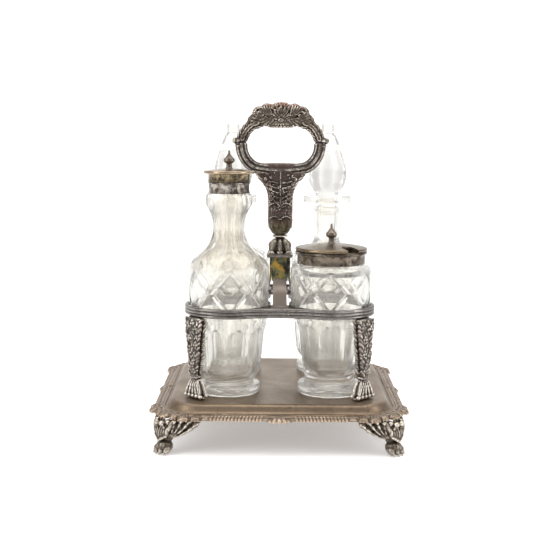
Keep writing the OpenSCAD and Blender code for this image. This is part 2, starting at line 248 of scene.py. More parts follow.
class Finish:
    def __init__(self, name):
        self.material = bpy.data.materials.new(name)
        self.material.use_nodes = True
        self.tree = self.material.node_tree
        self.shader = self.tree.nodes["Principled BSDF"]
        self.output = self.tree.nodes["Material Output"]
        coordinates = self.tree.nodes.new("ShaderNodeTexCoord")
        self.place = Value(self, coordinates.outputs["Object"])

    def node(self, kind, settings, inputs, output=0):
        made = self.tree.nodes.new(kind)
        for key, value in settings.items():
            setattr(made, key, value)
        for key, value in inputs.items():
            self.feed(made.inputs[key], value)
        return Value(self, made.outputs[output])

    def feed(self, socket, value):
        if isinstance(value, Value):
            self.tree.links.new(value.socket, socket)
        elif isinstance(value, tuple) and socket.type == "RGBA":
            socket.default_value = (*value, 1.0)
        else:
            socket.default_value = value

    def noise(self, scale, detail=4.0, rough=0.6, distort=0.0):
        return self.node("ShaderNodeTexNoise", {},
                         {"Vector": self.place, "Scale": scale, "Detail": detail,
                          "Roughness": rough, "Distortion": distort})

    def blend(self, share, first, second):
        """Colour first where share is 0, second where it is 1."""
        made = self.tree.nodes.new("ShaderNodeMix")
        made.data_type = "RGBA"
        self.feed(made.inputs["Factor"], share)
        self.feed(made.inputs[6], first)
        self.feed(made.inputs[7], second)
        return Value(self, made.outputs[2])

    def up(self):
        """Height over the ground, in metres."""
        return self.node("ShaderNodeSeparateXYZ", {}, {0: self.place}, output="Z")

    def attribute(self, name):
        return self.node("ShaderNodeAttribute", {"attribute_name": name}, {}, output="Fac")

    def bump(self, height, strength, distance=0.0003):
        normal = self.node("ShaderNodeBump", {}, {"Height": height, "Strength": strength,
                                                  "Distance": distance})
        self.feed(self.shader.inputs["Normal"], normal)

    def surface(self, **inputs):
        for key, value in inputs.items():
            self.feed(self.shader.inputs[key.replace("_", " ")], value)
        return self.material


# %% [markdown]
# ## Old silver plate
# Silver darkens where fingers and cloths don't reach, so cast ornament has near-black tarnish in
# its hollows. Its ridges take a pale colour that is partly rubbed silver and partly a painted
# highlight, shown in patches. Each cast piece carries a `relief` attribute, 0 in a hollow and 1 on
# a ridge, and this finish turns it into colour, shine and roughness. Slow clouds of brown make it
# uneven.

# %% Cast silver


def cast_silver(name, hollow, middle, ridge_wear_and_highlight, cloud, rough=0.42, bright=0.6, extra_ridge_share=None,
                blooms=()):
    """Each bloom is a colour that comes in from the first height to the second."""
    finish = Finish(name)
    relief = finish.attribute("relief")
    grain = finish.noise(620.0, 4.0, 0.7)
    clouds = finish.noise(60.0, 5.0, 0.65).clip(0.36, 0.64)
    # Patches where the pale ridge colour, worn silver with a painted highlight, comes through
    # strongly.
    wear_and_glint_patches = finish.noise(190.0, 3.0, 0.6).clip(0.4, 0.62)
    height = (relief + (grain - 0.5) * 0.8).clip(0.0, 1.0)
    low = finish.blend(height.clip(0.08, 0.46), hollow, middle)
    tint = finish.blend(clouds * 0.85, low, finish.blend(height.clip(0.1, 0.55), hollow, cloud))
    for start, full, bloom in blooms:
        tint = finish.blend(finish.up().clip(start, full) * height.clip(0.2, 0.6) * 0.65, tint,
                            bloom)
    # Painted highlight: the share of the pale ridge colour grows towards the crests and is broken
    # up by the patches.
    share = height.clip(0.56, 0.94) * (1.0 - bright + wear_and_glint_patches * bright)
    # Some finishes add more of the pale ridge colour, with its painted highlight, in given places.
    if extra_ridge_share:
        share = (share + extra_ridge_share(finish) * height.clip(0.4, 0.7)).clip(0.0, 1.0)
    colour = finish.blend(share, tint, ridge_wear_and_highlight)
    finish.bump(grain, 0.35, 0.00014)
    return finish.surface(Base_Color=colour, Metallic=0.3 + 0.6 * height.clip(0.2, 0.8),
                          Roughness=rough - 0.14 * height + 0.08 * clouds)


def low_leaves(finish):
    """The support's foot below its collar gets more of the pale colour of the crests, worn silver
    with a painted highlight, so it is paler than the blade.
    """
    return (1.0 - finish.up().clip(0.043, 0.046)) * 0.4


def front_bead(finish):
    """The gadroons' outer faces, between the corners, are worn through to copper, and get more of
    the pale colour of the crests, which also carries a painted highlight.
    """
    along = [finish.node("ShaderNodeSeparateXYZ", {}, {0: finish.place}, output=axis)
             for axis in "XY"]
    corner = (along[0] * along[0]).clip(0.0019, 0.0022) * (along[1] * along[1]).clip(0.0019, 0.0022)
    return (1.0 - corner) * (1.0 - finish.up().clip(0.0248, 0.0256)) * 0.5


# The third colour of each finish is its ridge colour: worn metal with a painted highlight.
bright_cast = cast_silver("bright cast silver", (0.012, 0.009, 0.007), (0.115, 0.095, 0.074),
                          (0.74, 0.67, 0.57), (0.12, 0.088, 0.064), 0.38, 0.45)
leafy_cast = cast_silver("dark support silver", (0.015, 0.011, 0.01), (0.115, 0.098, 0.084),
                         (0.74, 0.68, 0.6), (0.1, 0.073, 0.06), 0.36, 0.7, low_leaves)
dark_cast = cast_silver("dark cast silver", (0.013, 0.009, 0.008), (0.085, 0.062, 0.051),
                        (0.72, 0.66, 0.59), (0.082, 0.04, 0.031), 0.3, 0.8,
                        blooms=[(0.146, 0.139, (0.09, 0.095, 0.035))])
ring_cast = cast_silver("dark ring silver", (0.009, 0.007, 0.007), (0.045, 0.036, 0.033),
                        (0.7, 0.64, 0.56), (0.07, 0.044, 0.032), 0.26, 0.85,
                        blooms=[(0.2, 0.206, (0.15, 0.118, 0.08)),
                                (0.2195, 0.224, (0.26, 0.125, 0.085))])
edge_cast = cast_silver("copper-worn border", (0.045, 0.032, 0.024), (0.17, 0.126, 0.09),
                        (0.54, 0.42, 0.315), (0.185, 0.132, 0.094), 0.42, 0.6, front_bead)

# %% [markdown]
# ## Flat plate
# The tray's top, the band and the lids are rolled sheet, with no relief. Their tarnish is a brown
# bloom with paler rubbed places, fine scratches and a few dark spots.

# %% Rolled sheet


def sheet_plate(name, pale, bloom, dark, patch=28.0, rough=0.42, spots=0.5, edge=0.17):
    finish = Finish(name)
    patches = finish.noise(patch, 6.0, 0.62, 0.4).clip(0.5 - edge, 0.5 + edge)
    fine = finish.noise(420.0, 4.0)
    specks = finish.noise(260.0, 2.0).clip(0.62, 0.72)
    along = {"Vector": finish.place, "Rotation": (0, 0, 0.5), "Scale": (60.0, 2600.0, 60.0)}
    scratch = finish.node("ShaderNodeTexNoise", {},
                          {"Vector": finish.node("ShaderNodeMapping", {}, along),
                           "Scale": 1.0, "Detail": 3.0})
    colour = finish.blend(patches, pale, bloom)
    colour = finish.blend(fine.clip(0.4, 0.75) * 0.4, colour, dark)
    colour = finish.blend(specks * spots, colour, dark)
    finish.bump(fine + scratch * 0.6, 0.22, 0.00008)
    return finish.surface(Base_Color=colour, Metallic=0.85,
                          Roughness=rough + 0.14 * patches - 0.08 * scratch)


tray_top = sheet_plate("tarnished tray", (0.27, 0.2, 0.138), (0.18, 0.13, 0.088),
                       (0.095, 0.065, 0.042), rough=0.35)
band_plate = sheet_plate("darkened band", (0.34, 0.32, 0.3), (0.15, 0.135, 0.125),
                         (0.03, 0.026, 0.022), 60.0, 0.24)
collar_plate = sheet_plate("spotted collar", (0.42, 0.38, 0.335), (0.07, 0.056, 0.046),
                           (0.015, 0.012, 0.01), 170.0, 0.26, 1.0, 0.06)
lid_plate = sheet_plate("golden lid", (0.5, 0.39, 0.27), (0.28, 0.21, 0.145), (0.12, 0.088, 0.062),
                        55.0, 0.22)
jar_lid_plate = sheet_plate("brown lid", (0.26, 0.195, 0.125), (0.12, 0.09, 0.06),
                            (0.05, 0.037, 0.027), 55.0, 0.23)
skirt_plate = sheet_plate("mottled skirt", (0.3, 0.235, 0.14), (0.065, 0.05, 0.035),
                          (0.015, 0.012, 0.01), 190.0, 0.3, 1.0, 0.06)
jar_collar_plate = sheet_plate("dark collar", (0.2, 0.165, 0.128), (0.06, 0.048, 0.036),
                               (0.018, 0.014, 0.01), 170.0, 0.28, 0.9, 0.07)
knob_plate = sheet_plate("dark knob", (0.3, 0.25, 0.2), (0.1, 0.08, 0.064), (0.03, 0.024, 0.02),
                         150.0, 0.24)
dark_plate = sheet_plate("dark handle plate", (0.3, 0.26, 0.23), (0.1, 0.08, 0.072),
                         (0.025, 0.02, 0.018), 80.0, 0.3)
nut_brass = sheet_plate("dull brass", (0.5, 0.4, 0.22), (0.35, 0.27, 0.15), (0.12, 0.09, 0.05),
                        70.0, 0.4)

# %% [markdown]
# The square tube under the handle has lost its plate. Brass and verdigris show in patches, while
# the straps below it keep a plain grey-brown skin.

# %% Worn tube
tube = Finish("bare tube")
patches = tube.noise(95.0, 4.0, 0.6, 0.6)
brass = tube.blend(patches.clip(0.42, 0.56), (0.13, 0.15, 0.085), (0.5, 0.3, 0.06))
brass = tube.blend(tube.noise(150.0, 3.0).clip(0.52, 0.6), brass, (0.03, 0.026, 0.02))
height_of = tube.up()
skin = tube.blend(tube.noise(60.0, 4.0), (0.22, 0.18, 0.155), (0.3, 0.255, 0.225))
tube.bump(patches, 0.3, 0.0002)
tube_plate = tube.surface(Base_Color=tube.blend(height_of.clip(0.1035, 0.1045), skin, brass),
                          Metallic=0.7, Roughness=0.36 + 0.16 * patches)

# %% [markdown]
# ## Cut glass
# The glass is clear with a trace of grey, and old glass is a little milky. A share of the light
# goes straight through, which keeps thin walls bright, and the rest bends as it does in glass.
# Rays from lamps pass straight through, so the bottles don't lie in dark blots.

# %% Clear glass
TRANSMISSION = 0.97
REFRACTION = 1.46


def clear_glass(name, tint, clear_share, shoulder_tint=None):
    finish = Finish(name)
    finish.shader.inputs["Transmission Weight"].default_value = TRANSMISSION
    finish.shader.inputs["IOR"].default_value = REFRACTION
    haze = finish.noise(120.0, 3.0).clip(0.5, 0.85)
    ground = finish.attribute("ground")
    # Painted shade: deeper cuts get a darker tint, which draws the grey lines along the grooves.
    colour = finish.blend(ground, tint, tuple(0.6 * c for c in tint))
    if shoulder_tint:  # a tan tint over the shoulder, fainter up the neck
        shoulder_band = finish.up().clip(0.114, 0.12) * (1.0 - 0.45 * finish.up().clip(0.124, 0.15))
        colour = finish.blend(shoulder_band, colour, shoulder_tint)
    finish.surface(Base_Color=colour, Roughness=0.006 + 0.02 * haze + 0.12 * ground)
    finish.bump(finish.noise(38.0, 2.0), 0.03, 0.0006)
    straight = finish.node("ShaderNodeBsdfTransparent", {}, {"Color": (0.955, 0.955, 0.945)})
    rays = finish.tree.nodes.new("ShaderNodeLightPath")
    shadow = Value(finish, rays.outputs["Is Shadow Ray"])
    share = shadow * (1.0 - clear_share) + clear_share
    mixed = finish.node("ShaderNodeMixShader", {},
                        {0: share, 1: Value(finish, finish.shader.outputs[0]), 2: straight})
    finish.feed(finish.output.inputs["Surface"], mixed)
    return finish.material


bottle_glass = clear_glass("bottle glass", (0.975, 0.965, 0.935), 0.16)
caster_glass = clear_glass("caster glass", (0.975, 0.965, 0.935), 0.16, (0.87, 0.83, 0.755))
stopper_glass = clear_glass("stopper glass", (0.88, 0.87, 0.84), 0.24)


def dress(piece, material, body, slot, *replaced):
    piece.data.materials.clear()
    piece.data.materials.append(material)
    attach(piece, body)
    if replaced:
        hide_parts(*replaced)
    print(piece.name, len(piece.data.polygons), "faces")
    return piece


# %% [markdown]
# ## Camera, floor and light
# The set stands on a white sweep that rises behind it. The room in front is darker than the sweep,
# which is what gives silver its dark reflections and draws the edges of clear glass.

# %% Camera
EYE = (-0.0033, -0.716, 0.2028)
TILT, ROLL = 82.295, 0.4
SENSOR = 36.0
FOCAL_RATIO = 1031.4 / 550
bpy.ops.object.camera_add()
camera = bpy.context.object
camera.matrix_world = (Matrix.Translation(EYE) @ Matrix.Rotation(math.radians(TILT), 4, "X")
                       @ Matrix.Rotation(math.radians(ROLL), 4, "Z"))
camera.data.sensor_width = SENSOR
camera.data.lens = SENSOR * FOCAL_RATIO
bpy.context.scene.camera = camera

# %% Sweep behind and below
bpy.ops.mesh.primitive_plane_add(size=2.0, location=(0, 0, 0))
sweep = bpy.context.object
sweep.name = "white_sweep"
sweep.scale = (3.0, 2.0, 1.0)
settle(sweep)
pick(sweep)
bpy.ops.object.mode_set(mode="EDIT")
bpy.ops.mesh.select_all(action="DESELECT")
bpy.ops.object.mode_set(mode="OBJECT")
for edge in sweep.data.edges:
    edge.select = all(sweep.data.vertices[v].co.y > 1.0 for v in edge.vertices)
bpy.ops.object.mode_set(mode="EDIT")
bpy.ops.mesh.select_mode(type="EDGE")
bpy.ops.mesh.extrude_region_move(TRANSFORM_OT_translate={"value": (0, 0, 3.0)})
bpy.ops.object.mode_set(mode="OBJECT")
modify(sweep, "BEVEL", width=0.7, segments=16, limit_method="ANGLE")
smooth(sweep, 60)
paper = Finish("white paper")
paper.surface(Base_Color=paper.blend(paper.noise(3.0), (0.93, 0.93, 0.93), (0.95, 0.95, 0.95)),
              Roughness=0.8, Emission_Color=(1.0, 1.0, 1.0), Emission_Strength=0.32)
sweep.data.materials.append(paper.material)

# %% Soft lamps


def softbox(name, at, aim, size, power):
    bpy.ops.object.light_add(type="AREA", location=at)
    lamp = bpy.context.object
    lamp.name = name
    lamp.data.shape = "RECTANGLE"
    lamp.data.size, lamp.data.size_y = size
    lamp.data.energy = power
    lamp.rotation_euler = (Vector(aim) - Vector(at)).to_track_quat("-Z", "Y").to_euler()
    return lamp


softbox("top_box", (0.0, 0.1, 1.3), (0, 0, 0), (1.6, 1.6), 17.0)
softbox("left_box", (-0.95, -0.55, 0.6), (0, 0, 0.1), (0.5, 0.9), 6.0)
softbox("right_box", (1.0, -0.35, 0.5), (0, 0, 0.1), (0.4, 0.9), 4.0)
world = bpy.data.worlds.new("studio")
bpy.context.scene.world = world
world.use_nodes = True
world.node_tree.nodes["Background"].inputs["Color"].default_value = (0.62, 0.61, 0.6, 1.0)
world.node_tree.nodes["Background"].inputs["Strength"].default_value = 0.74
bpy.context.scene.view_settings.view_transform = "Standard"

# %% [markdown]
# ## Casting tools
# Cast ornament is a crowd of leaf-shaped lumps that melt into one skin. One lump is modelled, then
# copied with a new length, width and depth along a line from a to b. The crowd is joined, and a
# voxel remesh melts it, as wax melts at the joints of a founder's pattern. Specks that come loose
# in the melt are dropped.

# %% One lump, and its copies
chance = np.random.default_rng(11)
bpy.ops.object.select_all(action="DESELECT")
bpy.ops.mesh.primitive_uv_sphere_add(segments=14, ring_count=10, radius=1.0)
round_lump = bpy.context.object
round_lump.name = "round_lump"
pick(round_lump)
bpy.ops.object.duplicate()
leaf_lump = bpy.context.object
leaf_lump.name = "leaf_lump"
for vertex in leaf_lump.data.vertices:
    towards_tip = 0.5 + 0.5 * vertex.co.y
    vertex.co.x *= 1.25 - 0.75 * towards_tip ** 1.6
    vertex.co.z *= 1.15 - 0.6 * towards_tip


def lump(a, b, width, depth, out, shape=None):
    """One lump from a to b in millimetres, as wide as width and as deep as depth towards out."""
    a, b, out = Vector(a), Vector(b), Vector(out)
    along = b - a
    axis = along.normalized()
    up = (out - axis * out.dot(axis)).normalized()
    side = axis.cross(up)
    turn = Matrix((side * width / 2, along / 2, up * depth / 2)).transposed().to_4x4()
    return shape or round_lump, Matrix.Translation((a + b) / 2) @ turn


def bead(at, size):
    size = (size, size, size) if isinstance(size, (int, float)) else size
    return round_lump, Matrix.Translation(at) @ Matrix.Diagonal((*[s / 2 for s in size], 1.0))


def chain(points, width, depth, out):
    """Lumps end to end along the points."""
    return [lump(a, b, width, depth, out) for a, b in zip(points, points[1:])]


def speck(at, way, width, depth, out):
    """A short lump that reaches from at both ways."""
    return lump(at - way, at + way, width, depth, out)


def random_way(low, more):
    """A direction in the upright plane that faces the front, between low and low + more long."""
    way = Vector((chance.normal(), 0, chance.normal())).normalized()
    return way * (low + more * chance.random())


def turned(lumps, matrix):
    return [(shape, matrix @ place) for shape, place in lumps]


def crowd(name, lumps):
    """Copies of the lumps, joined into one mesh in metres."""
    made = []
    for shape, place in lumps:
        copy = add(name, shape.data.copy())
        copy.data.transform(Matrix.Scale(MM, 4) @ place)
        if place.determinant() < 0:
            copy.data.flip_normals()
        made.append(copy)
    return join(name, *made)


# %% [markdown]
# The relief is measured on the finished skin: a copy of the points is smoothed, and a point that
# stands proud of its smoothed self is on a ridge. That number is stored on the mesh.

# %% Melt, and mark the relief
FINE = 0.32
COARSE = 0.42


def mark_relief(piece, rounds=12):
    mesh = piece.data
    count = len(mesh.vertices)
    points = np.empty(count * 3)
    mesh.vertices.foreach_get("co", points)
    points = points.reshape(-1, 3)
    normals = np.empty(count * 3)
    mesh.vertices.foreach_get("normal", normals)
    normals = normals.reshape(-1, 3)
    ends = np.empty(len(mesh.edges) * 2, dtype=np.int64)
    mesh.edges.foreach_get("vertices", ends)
    ends = ends.reshape(-1, 2)
    links = np.bincount(ends.ravel(), minlength=count)[:, None]
    soft = points.copy()
    for _ in range(rounds):
        total = np.zeros_like(soft)
        for k in range(3):
            total[:, k] = (np.bincount(ends[:, 0], soft[ends[:, 1], k], count)
                           + np.bincount(ends[:, 1], soft[ends[:, 0], k], count))
        soft = 0.4 * soft + 0.6 * total / np.maximum(links, 1)
    proud = ((points - soft) * normals).sum(axis=1)
    relief = np.clip(0.45 + 0.5 * proud / np.percentile(np.abs(proud), 92), 0.0, 1.0)
    layer = mesh.attributes.new("relief", "FLOAT", "POINT")
    layer.data.foreach_set("value", relief.astype(np.float32))
    return piece


def melt(piece, voxel):
    modify(piece, "REMESH", mode="VOXEL", voxel_size=voxel * MM)
    modify(piece, "SMOOTH", factor=0.5, iterations=1)
    pick(piece)
    bpy.ops.mesh.separate(type="LOOSE")
    parts = list(bpy.context.selected_objects)
    piece.data = max(parts, key=lambda part: len(part.data.vertices)).data
    for stray in parts:
        if stray != piece:
            bpy.data.objects.remove(stray)
    mark_relief(piece)
    return smooth(piece, 180)


# %% [markdown]
# ## Bars along a path
# A moulding is a round bar bent along a path. A curve with a bevel gives the bar, and it is turned
# into a mesh straight away.

# %% Bar tool


def bar(name, path, radius, closed=True):
    line = bpy.data.curves.new(name, "CURVE")
    line.dimensions = "3D"
    line.bevel_depth = radius * MM
    line.bevel_resolution = 3
    line.use_fill_caps = not closed
    spline = line.splines.new("POLY")
    spline.points.add(len(path) - 1)
    for point, at in zip(spline.points, path):
        point.co = (*[c * MM for c in at], 1.0)
    spline.use_cyclic_u = closed
    pick(add(name, line))
    bpy.ops.object.convert(target="MESH")
    return bpy.context.object


# %% [markdown]
# ## The tray
# The tray is one pressed sheet: a flange for the border, a slope, and a flat platform. It starts
# as a flat plate with round corners. Each inset then steps the middle inwards and upwards, in the
# order in which the press would form it, and a solidify gives the sheet its thickness.

# %% Tray sheet
PLATFORM_HALF = 69.5
PLATFORM_CORNER = 18.0
FLANGE_Z = 26.2
tray_core = PLATFORM_HALF - PLATFORM_CORNER
tray_steps = ([(27.5, FLANGE_Z), (25.0, FLANGE_Z), (24.3, FLANGE_Z + 0.35), (23.8, FLANGE_Z + 0.3)]
              + curve((23.5, FLANGE_Z - 0.1), (22.6, FLANGE_Z), (21.8, PLATFORM_Z - 4.2),
                      (20.8, PLATFORM_Z - 2.6), 6)
              + curve((20.4, PLATFORM_Z - 2.0), (19.6, PLATFORM_Z - 0.7), (18.8, PLATFORM_Z + 0.0),
                      (16.8, PLATFORM_Z), 7))
bpy.ops.mesh.primitive_plane_add(size=2 * (tray_core + tray_steps[0][0]) * MM,
                                 location=(0, 0, FLANGE_Z * MM))
tray = bpy.context.object
tray.name = "tray_sheet"
settle(tray)
edit(tray, lambda: bpy.ops.mesh.bevel(offset=tray_steps[0][0] * MM, segments=18, affect="VERTICES"),
     *[lambda a=a, b=b: bpy.ops.mesh.inset(thickness=(a[0] - b[0]) * MM, depth=(b[1] - a[1]) * MM)
       for a, b in zip(tray_steps, tray_steps[1:])])
modify(tray, "SOLIDIFY", thickness=1.15 * MM, offset=-1.0)
smooth(tray, 35)
dress(tray, tray_top, "stand", "tray_top", "tray_plate")


def rounded_square(half, corner, z, steps=14):
    """Points round a square with rounded corners."""
    inner = half - corner
    points = []
    for start, (x, y) in zip((0, 90, 180, 270), ((1, 1), (-1, 1), (-1, -1), (1, -1))):
        points += arc((x * inner, y * inner), corner, start, start + 90, steps)
    return [(*point, z) for point in points]


# %% [markdown]
# ## The gadroon border
# Gadroons are slanting lobes pressed over the rim. A shell marks the middle of each side and a
# spray of leaves covers each corner. One side and one corner are laid out, then turned round the
# tray four times, and the crowd melts onto a plain rim.

# %% Border ornament
GADROON_RUN = 43.0
GADROON_PITCH = 2.25
RIM = 82.0


def border_side():
    """Gadroons, a shell and leaf ends along the side that faces -Y."""
    made = []
    for i in range(9):
        turn = math.radians(-80 + 20 * i)
        reach = 6.7 - 1.5 * abs(math.sin(turn))
        made.append(lump((3.0 * math.sin(turn), 4.0 - RIM, 26.2),
                         (reach * 1.75 * math.sin(turn), 3.5 - RIM - reach * math.cos(turn), 22.8),
                         3.9, 3.2, (0, -0.35, 1)))
    made.append(bead((0, 4.6 - RIM, 26.2), (4.2, 3.2, 2.2)))
    for i in range(int(2 * GADROON_RUN / GADROON_PITCH) + 1):
        x = -GADROON_RUN + i * GADROON_PITCH
        lean = 0.8 if x > 0 else -0.8
        if abs(x) > 9.6:
            made.append(lump((x - lean, 1.4 - RIM, 26.9), (x + lean, -0.6 - RIM, 22.8), 1.75, 2.2,
                             (0, -1, 0.8)))
    for side in (-1, 1):
        made += [lump((side * 43.5, 4.0 - RIM, 26.0), (side * 49.0, -1.6 - RIM, 24.4), 4.2, 2.4,
                      (0, -0.3, 1), leaf_lump),
                 lump((side * 48.5, 4.4 - RIM, 26.0), (side * 54.5, -2.4 - RIM, 24.4), 5.0, 2.6,
                      (0, -0.3, 1), leaf_lump)]
    return made


def border_corner():
    """The spray over the corner at (+X, -Y): broad flat lobes with thin veins on them."""
    made = []
    hub = Vector((tray_core, -tray_core, 0))
    for i in range(7):
        turn = math.radians(-3 - 14 * i)
        reach, width = ((33.5, 6.6), (34.8, 8.0), (32.8, 6.0), (34.4, 8.4))[min(i, 6 - i)]
        way = Vector((math.cos(turn), math.sin(turn), 0))
        side = Vector((-way.y, way.x, 0))
        root, tip = hub + way * 24.6, hub + way * (reach - width / 2)
        made += [lump(root + Vector((0, 0, 25.2)), tip + way * 2 + Vector((0, 0, 24.9)), width, 2.7,
                      (0, 0, 1)),
                 bead(tip + Vector((0, 0, 24.7)), (width, width, 3.6))]
        for fan in (-1, 0, 1):
            made.append(lump(root + way * 1.0 + side * fan * 0.6 + Vector((0, 0, 26.5)),
                             tip + way * (2.4 - 0.8 * abs(fan)) + side * fan * width * 0.34
                             + Vector((0, 0, 25.9)), 1.1, 1.3, (0, 0, 1)))
            made.append(lump(tip + way * 1.2 + side * fan * width * 0.3 + Vector((0, 0, 25.9)),
                             tip + way * (width / 2 - 0.5 * abs(fan)) + side * fan * width * 0.34
                             + Vector((0, 0, 23.2)), 1.4, 1.6, way))
    return made


ornament = []
for quarter in range(4):
    ornament += turned(border_side() + border_corner(),
                       Matrix.Rotation(math.radians(90 * quarter), 4, "Z"))
rim_bar = bar("rim_bar", rounded_square(RIM - 1.7, 28.8, 24.9), 1.85)
inner_cord = bar("inner_cord", rounded_square(RIM - 4.4, 26.1, 26.15), 0.5)
border = join("gadroon_border", crowd("ornament", ornament), rim_bar, inner_cord)
melt(border, COARSE)
dress(border, edge_cast, "stand", "border_silver", "tray_border")

# %% [markdown]
# ## Paw feet
# Each foot is a lion's paw under a curled leaf, with a fluted leaf wing along each edge of the
# tray. It is laid out for the corner at (+X, +Y) and mirrored to the other three.

# %% Foot pattern
PAW_AT = 75.0
# Each leaf of the wing climbs at an angle, in degrees, and reaches out from the heel.
WING_LEAVES = ((24, 21.5), (36, 19.5), (50, 16.5), (66, 13.6), (84, 12.4), (103, 12.2))
# The curl under the wing winds in: a turn in radians, and a reach.
WING_CURL = ((-2.4, 3.6), (-1.5, 3.5), (-0.6, 3.3), (0.4, 3.0), (1.4, 2.6), (2.5, 2.1), (3.7, 1.5),
             (5.0, 0.8))


def foot_lumps():
    diagonal = Vector((1, 1, 0)).normalized()
    across = Vector((-1, 1, 0)).normalized()
    up = Vector((0, 0, 1))
    heel = Vector((PAW_AT - 1.4, PAW_AT - 1.4, 0))
    made = [bead(heel + up * 5.4, (11.4, 11.4, 9.0)),
            lump(heel - diagonal * 1.5 + up * 7.0, heel - diagonal * 4.5 + up * 20.0, 9.4, 9.4,
                 diagonal)]
    for spread in (-5.0, -1.7, 1.7, 5.0):
        toe = heel + across * spread + diagonal * (4.8 - abs(spread) * 0.42)
        made += [lump(toe - diagonal * 4.0 + up * 5.4, toe + diagonal * 2.0 + up * 2.5, 3.4, 4.6,
                      up),
                 lump(toe + diagonal * 0.8 + up * 2.6, toe + diagonal * 2.8 + up * 0.55, 1.4, 1.6,
                      up, leaf_lump),
                 bead(toe - diagonal * 1.2 + up * 4.9, 2.9)]
    for spread in (-3, -2, -1, 0, 1, 2, 3):
        root = heel + across * spread * 2.7 - diagonal * 0.6 + up * 23.4
        tip = (heel + across * spread * 1.55 + diagonal * (3.6 - abs(spread) * 0.5)
               + up * (9.6 + abs(spread) * 1.0))
        belly = (root + tip) / 2 + diagonal * 1.9 + across * spread * 0.15
        made += [lump(root, belly - up * 1.5, 2.1, 3.4, diagonal),
                 lump(belly + up * 1.5, tip, 2.3, 3.2, diagonal),
                 lump(tip + up * 2.0, tip + diagonal * 1.9 - up * 0.3, 2.5, 2.2, diagonal)]
    for mirror in (Matrix.Identity(3), Matrix(((0, 1, 0), (1, 0, 0), (0, 0, 1)))):
        out = mirror @ Vector((1, 0, 0))
        for share in np.linspace(0, 1, 9):
            low = 11.4 + 10.0 * share
            made.append(bead(mirror @ Vector((76.4, PAW_AT - 4.5 - 18.5 * share, (23.6 + low) / 2)),
                             mirror @ Vector((3.4, 4.6, 24.4 - low))))
        hub, vein = Vector((PAW_AT + 1.0, PAW_AT - 4.0, 10.6)), Vector((1.3, 0, 0))
        for climb, reach in WING_LEAVES:
            path = []
            for share in (0.12, 0.36, 0.6, 0.82, 1.0):
                turn = math.radians(climb + 16 * (share - 0.6))
                path.append(hub
                            + Vector((2.6 * share, -reach * share * math.cos(turn),
                                      reach * share * math.sin(turn))))
            for i, (a, b) in enumerate(zip(path, path[1:])):
                made.append(lump(mirror @ a, mirror @ (b + (b - a) * 0.35), 1.6 + 0.7 * i, 3.4,
                                 out))
                made.append(lump(mirror @ (a + vein), mirror @ (b + vein), 0.8 + 0.25 * i, 1.6,
                                 out))
            made.append(bead(mirror @ (path[-1] + Vector((-0.4, 0, -0.6))), (3.4, 3.4, 3.4)))
        curl = [Vector((77.4, PAW_AT - 9.6 - reach * math.cos(turn), 18.6 + reach * math.sin(turn)))
                for turn, reach in WING_CURL]
        made += chain([mirror @ p for p in curl], 1.7, 2.8, out)
        for _ in range(10):
            share = chance.random()
            at = Vector((77.4, PAW_AT - 7 - 15 * share, 15.0 + 5.5 * share + 3.0 * chance.random()))
            way = Vector((0, chance.normal(), chance.normal() + 0.6)).normalized() * 1.7
            made.append(speck(mirror @ at, mirror @ way, 1.1, 2.6, out))
    return made


# %% Four feet
foot_pattern = crowd("foot_pattern", foot_lumps())
held(foot_pattern, z=(0.2, 23.6))
melt(foot_pattern, 0.4)
lowest = min(v.co.z for v in foot_pattern.data.vertices)
foot_pattern.data.transform(Matrix.Translation((0, 0, GAP * MM - lowest)))
for corner, (x, y) in CORNERS.items():
    foot = placed_copy(foot_pattern, "paw_" + corner, Matrix.Diagonal((x, y, 1.0, 1.0)))
    dress(foot, bright_cast, "stand", "cast_silver", "foot_" + corner)
bpy.data.objects.remove(foot_pattern)

# %% [markdown]
# ## Foliate supports
# Four tapering supports stand between the tray and the band. Each is a plain blade with leaves and
# berries on its face, a collar, and a foot of spreading leaves. The pattern is laid out facing +X
# and turned to its diagonal.

# %% Support pattern
SUPPORT_AT = 77.3
SUPPORT_TOP = BAND_LOW.z
BERRIES = ((-3.9, 80.5), (3.4, 79.0), (0.4, 82.6), (-2.2, 72.5), (3.4, 68.5), (2.4, 61.5),
           (-2.4, 63.0), (0.6, 56.0), (-1.5, 51.8), (1.6, 50.4))


def blade_width(z):
    """Full width of the support at height z."""
    return float(np.interp(z, (31.5, 35.5, 41, 45, 49, 57, 70, 79, 85),
                           (15.2, 14, 9.4, 7, 6.6, 8.6, 11.2, 13.4, 14.6)))


